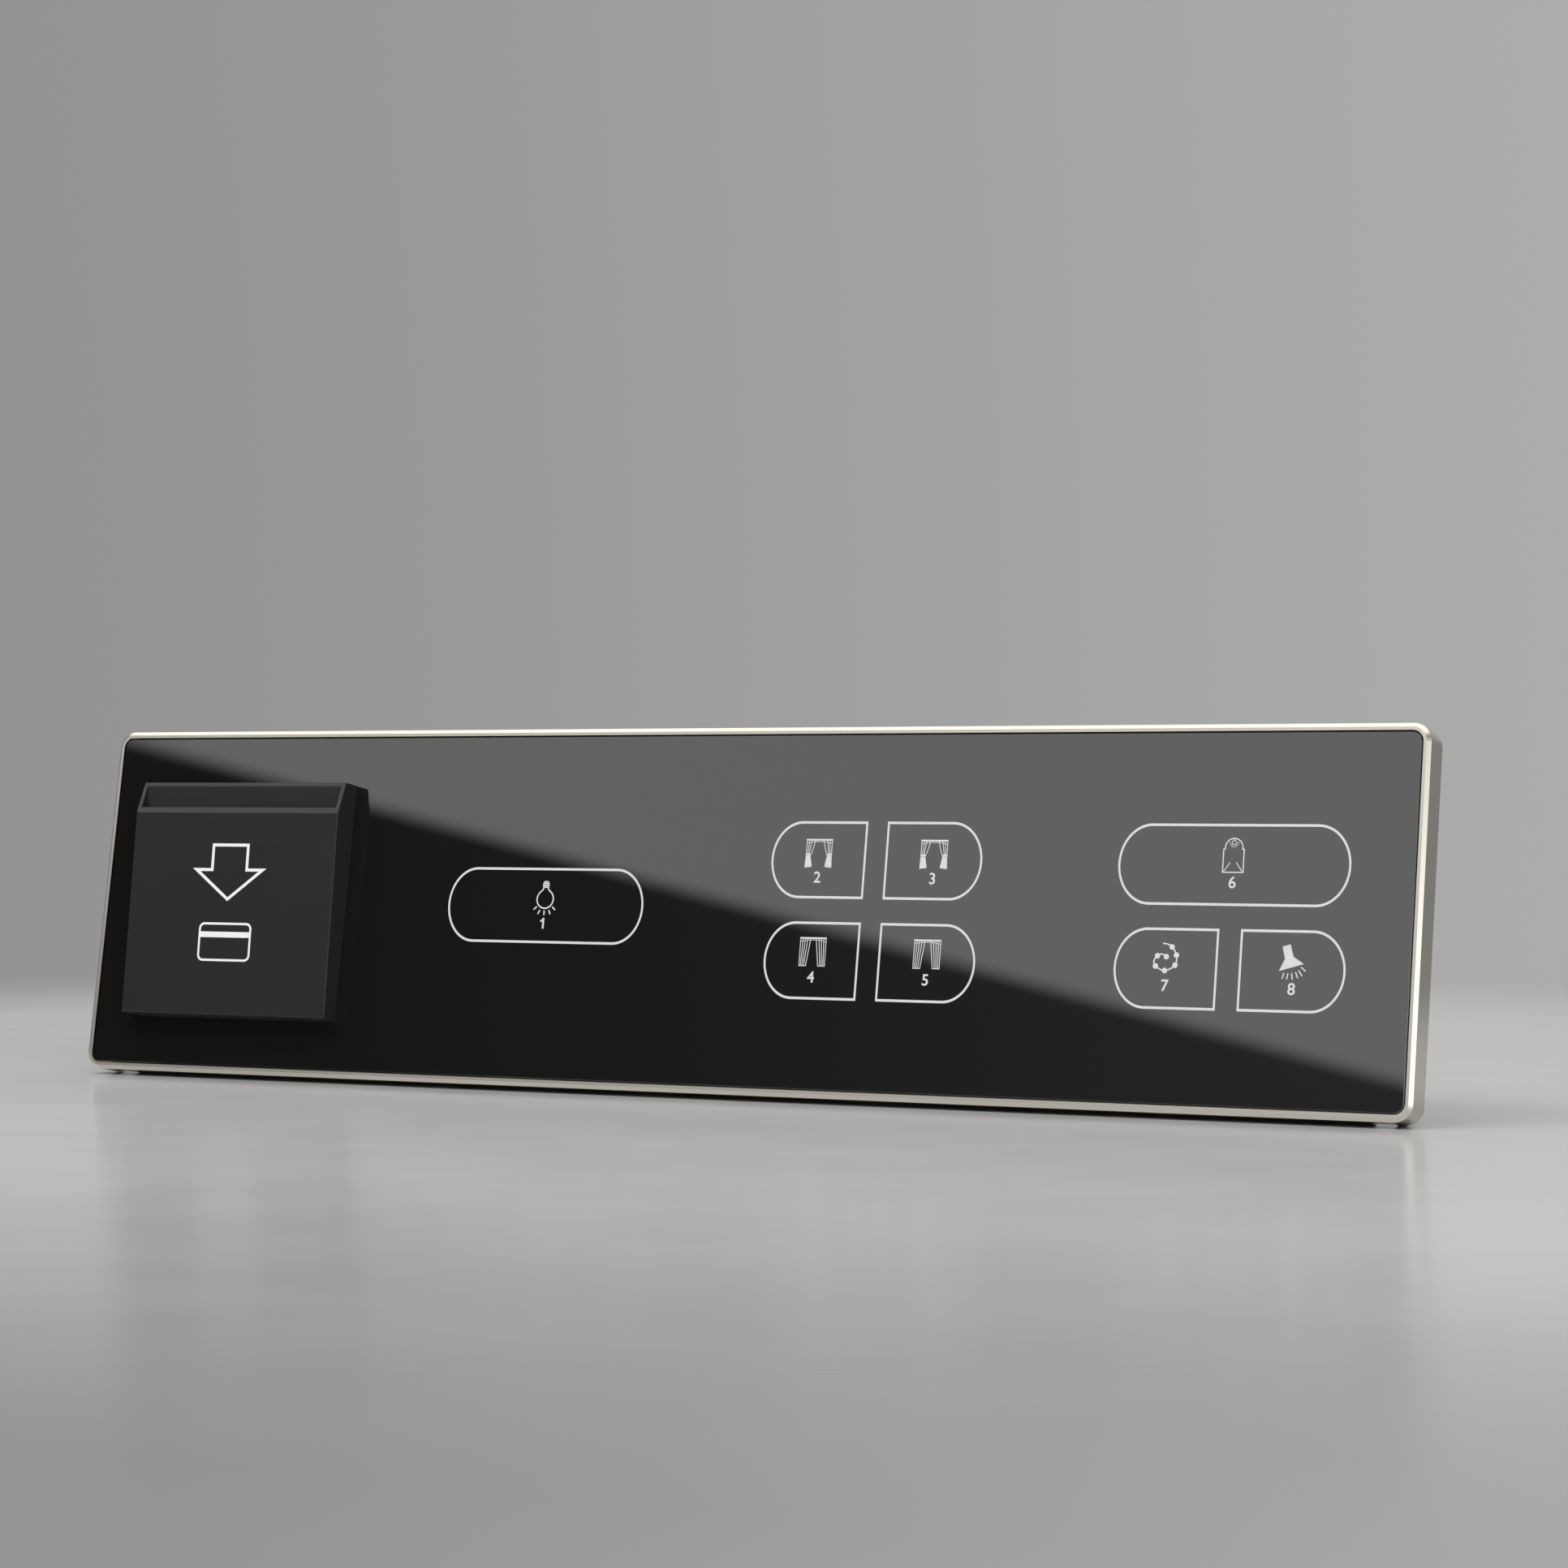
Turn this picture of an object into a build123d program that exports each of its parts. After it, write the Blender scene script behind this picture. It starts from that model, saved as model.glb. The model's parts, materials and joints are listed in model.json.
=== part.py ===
from build123d import *
import os

os.makedirs("parts", exist_ok=True)

# Glass touch switch: a strip of four wall-box gangs, the first with a key-card holder.
# X is the width, Z is up and -Y points into the room. The origin is on the wall behind the panel's centre.
# A height is a distance off the wall, towards the room. Negative heights lie inside the wall boxes.

# Screws fit their holes with this gap. Small round sections are given flat sides to keep the model light
SCREW_FIT = 0.03
SCREW_SIDES = 8
POST_SIDES = 12

# Strip of gangs and the loads that each one switches
GANG_PITCH = 86.0
GANG_NAMES = ["card", "room", "curtain", "lamp"]
LOADS = {
    "card": ["room supply"],
    "room": ["light"],
    "curtain": ["curtain open", "curtain close", "screen open", "screen close"],
    "lamp": ["porch", "strip", "spot"],
}
PANEL_HEIGHT = 86.0
PANEL_DEPTH = 8.8

# Trim frame
TRIM_BORDER = 1.6
TRIM_CHAMFER_WIDTH = 0.9
TRIM_CHAMFER_DEPTH = 0.6
TRIM_CORNER_RADIUS = 4.1
LEDGE_WIDTH = 1.8
LEDGE_THICKNESS = 0.8
NOTCH_WIDTH = 4.7
NOTCH_DEPTH = 3.4
NOTCH_FROM_END = 7.9
NOTCH_FILLET = 0.4

# Glass panel and the adhesive sheet behind it
GLASS_THICKNESS = 3.0
GLASS_GAP = 0.2
GLASS_ARRIS = 0.25
TAPE_THICKNESS = 0.5

# Card holder
HOLDER_WIDTH = 60.0
HOLDER_HEIGHT = 58.0
HOLDER_FOOT_DEPTH = 5.0
HOLDER_BROW_DEPTH = 7.4
HOLDER_TOP_DEPTH = 5.0
MOUTH_DROP = 8.0
MOUTH_RIM = 1.5
MOUTH_LEAD_IN = 6.0
HOLDER_WALL = 1.0
HOLDER_FLOOR = 1.2
HOLDER_EDGE_FILLET = 0.25
CARD_GAP = 1.45
CORE_SKIN = 1.4
CORE_RIB = 1.2
CORE_COLUMNS = 3
POST_DIAMETER = 5.4
POST_X = 25.5
POST_Z = 22.0
POST_CLEARANCE = 0.3
POST_SCREW_DIAMETER = 2.2
POST_SCREW_HEAD_DIAMETER = 4.0
POST_SCREW_HEAD_HEIGHT = 1.2
POST_SCREW_LENGTH = 7.0

# Panel carrier
CARRIER_THICKNESS = 1.2
CARRIER_WALL = 1.2
CARRIER_CLEARANCE = 0.2
CARRIER_OFF_WALL = 0.6
PAD_CLEARANCE = 0.3
CARRIER_RIB = 1.2
RIB_OFF_PLATE = 0.4
BOARD_STANDOFF = 0.5
BOARD_REST_SIDE = 3.0
BOARD_REST_INSET = 0.3
HOOK_CLEARANCE = 0.15
HOOK_THICKNESS = 1.0
HOOK_WIDTH = 5.0
HOOK_BITE = 0.6
HOOK_BARB = 0.7
HOOK_Z = 9.0

# Touch keys, from the centre of their gang
HALF_KEY_X = 14.55
KEY_ROW_Z = 11.67
ICON_RISE = 1.6
KEYS = {
    "room": [(0.0, 0.0)],
    "curtain": [
        (-HALF_KEY_X, KEY_ROW_Z),
        (HALF_KEY_X, KEY_ROW_Z),
        (-HALF_KEY_X, -KEY_ROW_Z),
        (HALF_KEY_X, -KEY_ROW_Z),
    ],
    "lamp": [(0.0, KEY_ROW_Z), (-HALF_KEY_X, -KEY_ROW_Z), (HALF_KEY_X, -KEY_ROW_Z)],
}
PAD_SIDE = 12.0
PAD_WINDOW = 8.6
PAD_WINDOW_CLEARANCE = 0.3
DIFFUSER_SIDE = 8.0
LED_POCKET_SIDE = 4.4
LED_POCKET_DEPTH = 1.2
LED_LENGTH = 2.0
LED_WIDTH = 1.25
LED_HEIGHT = 0.8

# Boards behind the glass
BOARD_SIDE = 46.0
BOARD_THICKNESS = 1.0
CHIP_SIDE = 7.0
CHIP_HEIGHT = 0.8
CHIP_PLACE = 9.0
COIL_SIDE = 40.0
COIL_BAND = 4.0
COIL_CORNER = 5.0
COIL_THICKNESS = 0.35

# Pin headers and their sockets
PIN_PITCH = 2.54
PIN_COLUMNS = 5
PIN_ROWS = 2
PIN_SIDE = 0.64
PIN_CLEARANCE = 0.12
PIN_LENGTH = 6.0
HEADER_HEIGHT = 2.5
HEADER_Z = -12.0
SOCKET_MARGIN = 0.15
SOCKET_HOLE_DEPTH = 7.0
SOCKET_WINDOW_CLEARANCE = 0.4
CONNECTOR_GAP = 0.7

# Mounting plate
PLATE_THICKNESS = 1.2
PLATE_CORNER_RADIUS = 2.0
PLATE_INSET = 0.8
FLANGE_HEIGHT = 3.2
FLANGE_END_GAP = 6.0
FLANGE_BEND_RADIUS = 0.6
CASE_OPENING_CLEARANCE = 0.3
BOX_SCREW_SPACING = 60.3
BOX_SLOT_WIDTH = 4.5
BOX_SLOT_LENGTH = 8.0

# Spring clips on the carrier and their windows in the plate's flanges
CLIP_WIDTH = 8.0
CLIP_THICKNESS = 0.3
CLIP_FOOT = 1.6
CLIP_BITE = 0.4
CLIP_BUMP_HEIGHT = 1.8
CLIP_BUMP_HALF = 0.65
CLIP_END_HEIGHT = 0.8
CLIP_WINDOW_WIDTH = 9.0
CLIP_WINDOW_HEIGHT = 1.2

# Rear module
CASE_WIDTH = 52.0
CASE_HEIGHT = 56.0
CASE_DEPTH = 27.0
CASE_WALL = 1.6
CASE_CORNER = 2.0
PILLAR_SIDE = 5.6
EAR_WIDTH = 40.0
EAR_REACH = 3.6
EAR_THICKNESS = 1.0
LID_THICKNESS = 1.6
LID_CLEARANCE = 0.15
LID_TONGUE_WIDTH = 12.0
LID_TONGUE_REACH = 0.9
LID_TONGUE_THICKNESS = 0.8
LID_LEG_SIDE = 3.0
LID_LEG_X = 15.0
LID_LEG_Z = 18.0
VENT_COUNT = 5
VENT_PITCH = 3.0
VENT_WIDTH = 1.2
VENT_LENGTH = 10.0
VENT_Z = 8.0
POWER_BOARD_DEPTH = 9.5
POWER_BOARD_THICKNESS = 1.6
POWER_BOARD_CLEARANCE = 0.3
RAIL_THICKNESS = 2.0
RAIL_LENGTH = 16.0
MODULE_SCREW_DIAMETER = 2.0
MODULE_SCREW_HEAD_DIAMETER = 3.6
MODULE_SCREW_HEAD_HEIGHT = 0.9
MODULE_SCREW_X = 17.0

# Parts on the power boards
RELAY_LENGTH = 20.0
RELAY_HEIGHT = 12.5
RELAY_GAP = 1.0
CARD_RELAY_WIDTH = 27.0
SUPPLY_WIDTH = 32.0
SUPPLY_LENGTH = 11.0
SUPPLY_HEIGHT = 12.0
SUPPLY_EDGE_GAP = 1.4
COMPONENT_CHAMFER = 0.6
TERMINAL_PITCH = 5.0
TERMINAL_HEIGHT = 10.7
TERMINAL_CLEARANCE = 0.15
TERMINAL_PROUD = 1.0
WIRE_HOLE_WIDTH = 3.2
WIRE_HOLE_HEIGHT = 3.6
WIRE_HOLE_DEPTH = 7.0
WIRE_HOLE_BELOW_BOARD = 6.5
WIRE_WINDOW_HEIGHT = 7.0
TERMINAL_SCREW_HEAD_DIAMETER = 3.8
TERMINAL_SCREW_HEAD_HEIGHT = 2.0
TERMINAL_SCREW_DIAMETER = 2.4
TERMINAL_SCREW_SHANK = 3.0
TERMINAL_WELL_DEPTH = 3.4
TERMINAL_WELL_CLEARANCE = 0.2

# Heights off the wall that follow from the sizes above
glass_back = PANEL_DEPTH - GLASS_THICKNESS
ledge_back = glass_back - LEDGE_THICKNESS
pad_front = glass_back - TAPE_THICKNESS
carrier_back = ledge_back - CARRIER_THICKNESS
board_front = carrier_back - BOARD_STANDOFF
board_back = board_front - BOARD_THICKNESS
header_end = board_back - HEADER_HEIGHT
socket_front = header_end - CONNECTOR_GAP
power_board_front = -POWER_BOARD_DEPTH
power_board_back = power_board_front - POWER_BOARD_THICKNESS
case_back_inside = -CASE_DEPTH + CASE_WALL
terminal_end = case_back_inside - TERMINAL_PROUD

# Widths and heights of the nested outlines
panel_width = GANG_PITCH * len(GANG_NAMES)
opening_width = panel_width - 2 * TRIM_BORDER
opening_height = PANEL_HEIGHT - 2 * TRIM_BORDER
opening_radius = TRIM_CORNER_RADIUS - TRIM_BORDER
glass_width = opening_width - 2 * GLASS_GAP
glass_height = opening_height - 2 * GLASS_GAP
pad_width = opening_width - 2 * LEDGE_WIDTH - 2 * PAD_CLEARANCE
pad_height = opening_height - 2 * LEDGE_WIDTH - 2 * PAD_CLEARANCE
carrier_width = opening_width - 2 * CARRIER_CLEARANCE
carrier_height = opening_height - 2 * CARRIER_CLEARANCE
carrier_inner_width = carrier_width - 2 * CARRIER_WALL
carrier_inner_height = carrier_height - 2 * CARRIER_WALL
plate_width = carrier_inner_width - 2 * PLATE_INSET
plate_height = carrier_inner_height - 2 * PLATE_INSET
case_inner_width = CASE_WIDTH - 2 * CASE_WALL
case_inner_height = CASE_HEIGHT - 2 * CASE_WALL
header_width = PIN_COLUMNS * PIN_PITCH
header_length = PIN_ROWS * PIN_PITCH
socket_width = header_width + 2 * SOCKET_MARGIN
socket_length = header_length + 2 * SOCKET_MARGIN

# Widest bank of relays fills the case between its rails
widest_bank = max(len(loads) for loads in LOADS.values())
bank_width = case_inner_width - 2 * RAIL_THICKNESS
relay_width = (bank_width - (widest_bank + 1) * RELAY_GAP) / widest_bank

# Places of the gangs and of what repeats in each
gang_x = {name: (i - (len(GANG_NAMES) - 1) / 2) * GANG_PITCH for i, name in enumerate(GANG_NAMES)}
card_x = gang_x["card"]
pillar_x = case_inner_width / 2 - PILLAR_SIDE / 2
pillar_z = case_inner_height / 2 - PILLAR_SIDE / 2
terminal_z = -case_inner_height / 2 + TERMINAL_CLEARANCE + TERMINAL_HEIGHT / 2
supply_z = case_inner_height / 2 - SUPPLY_EDGE_GAP - SUPPLY_LENGTH / 2
relay_z = (terminal_z + TERMINAL_HEIGHT / 2 + supply_z - SUPPLY_LENGTH / 2) / 2
board_rest_place = BOARD_SIDE / 2 - BOARD_REST_INSET - BOARD_REST_SIDE / 2


def off_wall(height, x=0.0, z=0.0):
    """Plane that faces the room, at a height off the wall."""
    return Plane(origin=(x, -height, z), x_dir=(1, 0, 0), z_dir=(0, -1, 0))


def four_corners(x, z, centre_x=0.0):
    """Points at the corners of a rectangle of half sizes x and z."""
    return [(centre_x + sx * x, sz * z) for sx in (-1, 1) for sz in (-1, 1)]


def key_points(name):
    """Centres of the touch pads of one gang, in the plane of the panel."""
    return [(gang_x[name] + x, z + ICON_RISE) for x, z in KEYS.get(name, [])]


def evenly_spaced(count, pitch):
    """Places of a row of things about the middle."""
    return [(i - (count - 1) / 2) * pitch for i in range(count)]


def terminal_places(name):
    """Places of one gang's terminals: live, neutral and one for each load."""
    return evenly_spaced(2 + len(LOADS[name]), TERMINAL_PITCH)


def screw_section(diameter, mode=Mode.ADD):
    """Section of a screw or a screw hole, in the current sketch."""
    RegularPolygon(diameter / 2, SCREW_SIDES, mode=mode)


all_keys = [point for name in GANG_NAMES for point in key_points(name)]
post_points = four_corners(POST_X, POST_Z, card_x)
board_rests = [
    point for name in GANG_NAMES for point in four_corners(board_rest_place, board_rest_place, gang_x[name])
]
ear_screw_z = CASE_HEIGHT / 2 + CASE_OPENING_CLEARANCE + (EAR_REACH - CASE_OPENING_CLEARANCE) / 2
module_screws_in_gang = [(-MODULE_SCREW_X, ear_screw_z), (MODULE_SCREW_X, -ear_screw_z)]
module_screw_points = [(gang_x[name] + x, z) for name in GANG_NAMES for x, z in module_screws_in_gang]

# Trim frame: a metal rim with a chamfered front edge, a ledge that the glass lies on and two pry notches
with BuildPart() as trim_frame:
    with BuildSketch(off_wall(0)):
        RectangleRounded(panel_width, PANEL_HEIGHT, TRIM_CORNER_RADIUS)
    extrude(amount=PANEL_DEPTH)
    front_face = trim_frame.faces().sort_by(Axis.Y)[0]
    chamfer(front_face.edges(), length=TRIM_CHAMFER_WIDTH, length2=TRIM_CHAMFER_DEPTH, reference=front_face)
    with BuildSketch(off_wall(0)):
        RectangleRounded(opening_width, opening_height, opening_radius)
    extrude(amount=ledge_back, mode=Mode.SUBTRACT)
    with BuildSketch(off_wall(ledge_back)):
        Rectangle(opening_width - 2 * LEDGE_WIDTH, opening_height - 2 * LEDGE_WIDTH)
    extrude(amount=LEDGE_THICKNESS, mode=Mode.SUBTRACT)
    with BuildSketch(off_wall(glass_back)):
        RectangleRounded(opening_width, opening_height, opening_radius)
    extrude(amount=GLASS_THICKNESS, mode=Mode.SUBTRACT)
    with BuildSketch(Plane.XY.offset(-PANEL_HEIGHT / 2)) as notches:
        with Locations(*[(side * (panel_width / 2 - NOTCH_FROM_END), -NOTCH_DEPTH / 2) for side in (-1, 1)]):
            Rectangle(NOTCH_WIDTH, NOTCH_DEPTH)
        fillet(notches.vertices().filter_by(lambda v: v.Y < -NOTCH_DEPTH / 2), NOTCH_FILLET)
    extrude(amount=TRIM_BORDER, mode=Mode.SUBTRACT)
trim_frame.part.label = "trim_frame"
export_step(trim_frame.part, "parts/trim_frame.step")

# Glass panel: one sheet for all four gangs, with holes for the card holder's posts
post_hole = POST_DIAMETER + 2 * POST_CLEARANCE
with BuildPart() as glass_panel:
    with BuildSketch(off_wall(glass_back)):
        RectangleRounded(glass_width, glass_height, opening_radius - GLASS_GAP)
        with Locations(*post_points):
            RegularPolygon(post_hole / 2, POST_SIDES, mode=Mode.SUBTRACT)
    extrude(amount=GLASS_THICKNESS)
    front_wire = glass_panel.faces().sort_by(Axis.Y)[0].outer_wire()
    chamfer(front_wire.edges(), length=GLASS_ARRIS)
glass_panel.part.label = "glass_panel"
export_step(glass_panel.part, "parts/glass_panel.step")

# Adhesive sheet between the glass and the carrier
pad_hole = PAD_SIDE + 2 * PAD_WINDOW_CLEARANCE
with BuildPart() as glass_tape:
    with BuildSketch(off_wall(pad_front)):
        Rectangle(pad_width, pad_height)
        with Locations(*all_keys):
            Rectangle(pad_hole, pad_hole, mode=Mode.SUBTRACT)
        with Locations(*post_points):
            Rectangle(post_hole, post_hole, mode=Mode.SUBTRACT)
    extrude(amount=TAPE_THICKNESS)
glass_tape.part.label = "glass_tape"
export_step(glass_tape.part, "parts/glass_tape.step")

# Panel carrier: a moulded tray that traps the trim's ledge behind the glass and holds the boards
flange_inner_height = plate_height - 2 * PLATE_THICKNESS
rib_height = PLATE_THICKNESS + RIB_OFF_PLATE
hook_inside = BOARD_SIDE / 2 + HOOK_CLEARANCE
with BuildPart() as panel_carrier:
    with BuildSketch(off_wall(CARRIER_OFF_WALL)) as carrier_outline:
        Rectangle(carrier_width, carrier_height)
        chamfer(carrier_outline.vertices(), opening_radius - CARRIER_CLEARANCE)
    extrude(amount=ledge_back - CARRIER_OFF_WALL)
    with BuildSketch(off_wall(CARRIER_OFF_WALL)):
        Rectangle(carrier_inner_width, carrier_inner_height)
    extrude(amount=carrier_back - CARRIER_OFF_WALL, mode=Mode.SUBTRACT)
    with BuildSketch(off_wall(ledge_back)):
        Rectangle(pad_width, pad_height)
    extrude(amount=pad_front - ledge_back)
    with BuildSketch(off_wall(rib_height)):
        with GridLocations(GANG_PITCH, 1, len(GANG_NAMES) - 1, 1):
            Rectangle(CARRIER_RIB, flange_inner_height - 2 * FLANGE_BEND_RADIUS)
    extrude(amount=carrier_back - rib_height)
    with BuildSketch(off_wall(board_front)):
        with Locations(*board_rests):
            Rectangle(BOARD_REST_SIDE, BOARD_REST_SIDE)
    extrude(amount=BOARD_STANDOFF)
    for hook_z in (-HOOK_Z, HOOK_Z):
        with BuildSketch(Plane.XY.offset(hook_z)):
            for name in GANG_NAMES:
                for side in (-1, 1):
                    with Locations((gang_x[name] + side * hook_inside, 0)):
                        Polygon(
                            (0, -carrier_back),
                            (0, -board_back),
                            (-side * (HOOK_BITE + HOOK_CLEARANCE), -board_back),
                            (0, -board_back + HOOK_BARB),
                            (side * HOOK_THICKNESS, -board_back + HOOK_BARB),
                            (side * HOOK_THICKNESS, -carrier_back),
                            align=None,
                        )
        extrude(amount=HOOK_WIDTH / 2, both=True)
    with BuildSketch(off_wall(carrier_back)):
        with Locations(*all_keys):
            Rectangle(pad_hole, pad_hole)
        with Locations(*post_points):
            screw_section(POST_SCREW_DIAMETER + 2 * POST_CLEARANCE)
    extrude(amount=pad_front - carrier_back, mode=Mode.SUBTRACT)
panel_carrier.part.label = "panel_carrier"
export_step(panel_carrier.part, "parts/panel_carrier.step")

# Side profile of the card holder: depths are measured off the glass, over the height of the holder
holder_bottom = -HOLDER_HEIGHT / 2
holder_top = HOLDER_HEIGHT / 2
mouth_bottom = holder_top - MOUTH_DROP
face_slope = (HOLDER_BROW_DEPTH - HOLDER_FOOT_DEPTH) / (mouth_bottom - holder_bottom)
mouth_slope = (HOLDER_BROW_DEPTH - HOLDER_TOP_DEPTH) / MOUTH_DROP
mouth_length = (MOUTH_DROP**2 + (HOLDER_BROW_DEPTH - HOLDER_TOP_DEPTH) ** 2) ** 0.5
rim_z = mouth_bottom + MOUTH_RIM * MOUTH_DROP / mouth_length
rim_depth = HOLDER_TOP_DEPTH + (holder_top - rim_z) * mouth_slope
lead_in_z = mouth_bottom - MOUTH_LEAD_IN
floor_z = holder_bottom + HOLDER_FLOOR
core_width = (2 * POST_X - POST_DIAMETER - (CORE_COLUMNS + 1) * CORE_RIB) / CORE_COLUMNS


def face_depth(z, behind=0.0):
    """Depth off the glass of a plane that lies behind the holder's sloping front face."""
    return HOLDER_FOOT_DEPTH + (z - holder_bottom) * face_slope - behind


def holder_side(x):
    """Plane across the holder: first axis off the glass, second axis up."""
    return Plane(origin=(x, -PANEL_DEPTH, 0), x_dir=(0, -1, 0), z_dir=(-1, 0, 0))


card_back = HOLDER_WALL + CARD_GAP
card_back_overrun = face_depth(holder_top, card_back) - HOLDER_TOP_DEPTH
card_back_top = holder_top - card_back_overrun / (face_slope + mouth_slope)

# Front of the card holder: front wall with a slanted mouth, side walls and floor, open towards the glass
with BuildPart() as card_holder_front:
    with BuildSketch(holder_side(card_x)):
        Polygon(
            (0, holder_bottom),
            (HOLDER_FOOT_DEPTH, holder_bottom),
            (HOLDER_BROW_DEPTH, mouth_bottom),
            (HOLDER_TOP_DEPTH, holder_top),
            (0, holder_top),
            align=None,
        )
    extrude(amount=HOLDER_WIDTH / 2, both=True)
    sloping_face = card_holder_front.faces().filter_by(Plane.XZ, reverse=True).sort_by(SortBy.AREA)[-1]
    outer_edges = [e for e in sloping_face.edges() if e.center().Z < mouth_bottom - HOLDER_WALL]
    fillet(outer_edges, HOLDER_EDGE_FILLET)
    with BuildSketch(holder_side(card_x)):
        Polygon(
            (0, floor_z),
            (face_depth(floor_z, HOLDER_WALL), floor_z),
            (face_depth(lead_in_z, HOLDER_WALL), lead_in_z),
            (rim_depth, rim_z),
            (rim_depth, holder_top),
            (0, holder_top),
            align=None,
        )
    extrude(amount=HOLDER_WIDTH / 2 - HOLDER_WALL, both=True, mode=Mode.SUBTRACT)
card_holder_front.part.label = "card_holder_front"
export_step(card_holder_front.part, "parts/card_holder_front.step")

# Back of the card holder: the wedge that the card leans on, cored from behind, with posts through the glass
with BuildPart() as card_holder_back:
    with BuildSketch(holder_side(card_x)):
        Polygon(
            (0, floor_z),
            (face_depth(floor_z, card_back), floor_z),
            (face_depth(card_back_top, card_back), card_back_top),
            (HOLDER_TOP_DEPTH, holder_top),
            (0, holder_top),
            align=None,
        )
    extrude(amount=HOLDER_WIDTH / 2 - HOLDER_WALL, both=True)
    core_bottom = floor_z + CORE_RIB
    core_top = card_back_top - CORE_RIB
    for column in range(CORE_COLUMNS):
        with BuildSketch(holder_side(card_x + (column - (CORE_COLUMNS - 1) / 2) * (core_width + CORE_RIB))):
            Polygon(
                (0, core_bottom),
                (face_depth(core_bottom, card_back + CORE_SKIN), core_bottom),
                (face_depth(core_top, card_back + CORE_SKIN), core_top),
                (0, core_top),
                align=None,
            )
        extrude(amount=core_width / 2, both=True, mode=Mode.SUBTRACT)
    with BuildSketch(off_wall(pad_front)):
        with Locations(*post_points):
            RegularPolygon(POST_DIAMETER / 2, POST_SIDES)
    extrude(amount=PANEL_DEPTH - pad_front)
    with BuildSketch(off_wall(pad_front)):
        with Locations(*post_points):
            screw_section(POST_SCREW_DIAMETER + 2 * SCREW_FIT)
    extrude(amount=POST_SCREW_LENGTH - (pad_front - carrier_back), mode=Mode.SUBTRACT)
card_holder_back.part.label = "card_holder_back"
export_step(card_holder_back.part, "parts/card_holder_back.step")

# Screws from the carrier into the card holder's posts
with BuildPart() as card_holder_screws:
    with BuildSketch(off_wall(carrier_back - POST_SCREW_HEAD_HEIGHT)):
        with Locations(*post_points):
            screw_section(POST_SCREW_HEAD_DIAMETER)
    extrude(amount=POST_SCREW_HEAD_HEIGHT)
    with BuildSketch(off_wall(carrier_back)):
        with Locations(*post_points):
            screw_section(POST_SCREW_DIAMETER)
    extrude(amount=POST_SCREW_LENGTH)
card_holder_screws.part.label = "card_holder_screws"
export_step(card_holder_screws.part, "parts/card_holder_screws.step")

# Boards behind the glass: one for each gang, the first with the card reader
board_names = {name: "card_reader_board" if name == "card" else f"{name}_touch_board" for name in GANG_NAMES}
for name in GANG_NAMES:
    with BuildPart() as board:
        with BuildSketch(off_wall(board_back, gang_x[name])):
            Rectangle(BOARD_SIDE, BOARD_SIDE)
        extrude(amount=BOARD_THICKNESS)
    board.part.label = board_names[name]
    export_step(board.part, f"parts/{board_names[name]}.step")

# Touch pads of conductive rubber, with clear diffusers in their windows, from each touch board to the glass
for name in KEYS:
    with BuildPart() as touch_pads:
        with BuildSketch(off_wall(board_front)):
            with Locations(*key_points(name)):
                Rectangle(PAD_SIDE, PAD_SIDE)
                Rectangle(PAD_WINDOW, PAD_WINDOW, mode=Mode.SUBTRACT)
        extrude(amount=glass_back - board_front)
    touch_pads.part.label = f"{name}_touch_pads"
    export_step(touch_pads.part, f"parts/{name}_touch_pads.step")

    with BuildPart() as diffusers:
        with BuildSketch(off_wall(board_front)):
            with Locations(*key_points(name)):
                Rectangle(DIFFUSER_SIDE, DIFFUSER_SIDE)
        extrude(amount=glass_back - board_front)
        with BuildSketch(off_wall(board_front)):
            with Locations(*key_points(name)):
                Rectangle(LED_POCKET_SIDE, LED_POCKET_SIDE)
        extrude(amount=LED_POCKET_DEPTH, mode=Mode.SUBTRACT)
    diffusers.part.label = f"{name}_diffusers"
    export_step(diffusers.part, f"parts/{name}_diffusers.step")

# Key lights on the fronts of the touch boards
with BuildPart() as key_leds:
    with BuildSketch(off_wall(board_front)):
        with Locations(*all_keys):
            Rectangle(LED_LENGTH, LED_WIDTH)
    extrude(amount=LED_HEIGHT)
key_leds.part.label = "key_leds"
export_step(key_leds.part, "parts/key_leds.step")

# Control chips on the backs of the boards
with BuildPart() as control_chips:
    with BuildSketch(off_wall(board_back - CHIP_HEIGHT)):
        with Locations(*[(gang_x[name], CHIP_PLACE) for name in GANG_NAMES]):
            Rectangle(CHIP_SIDE, CHIP_SIDE)
    extrude(amount=CHIP_HEIGHT)
control_chips.part.label = "control_chips"
export_step(control_chips.part, "parts/control_chips.step")

# Antenna coil on the front of the card reader board
with BuildPart() as antenna_coil:
    with BuildSketch(off_wall(board_front, card_x)) as coil_outline:
        Rectangle(COIL_SIDE, COIL_SIDE)
        chamfer(coil_outline.vertices(), COIL_CORNER)
        offset(amount=-COIL_BAND, kind=Kind.INTERSECTION, mode=Mode.SUBTRACT)
    extrude(amount=COIL_THICKNESS)
antenna_coil.part.label = "antenna_coil"
export_step(antenna_coil.part, "parts/antenna_coil.step")

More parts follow.
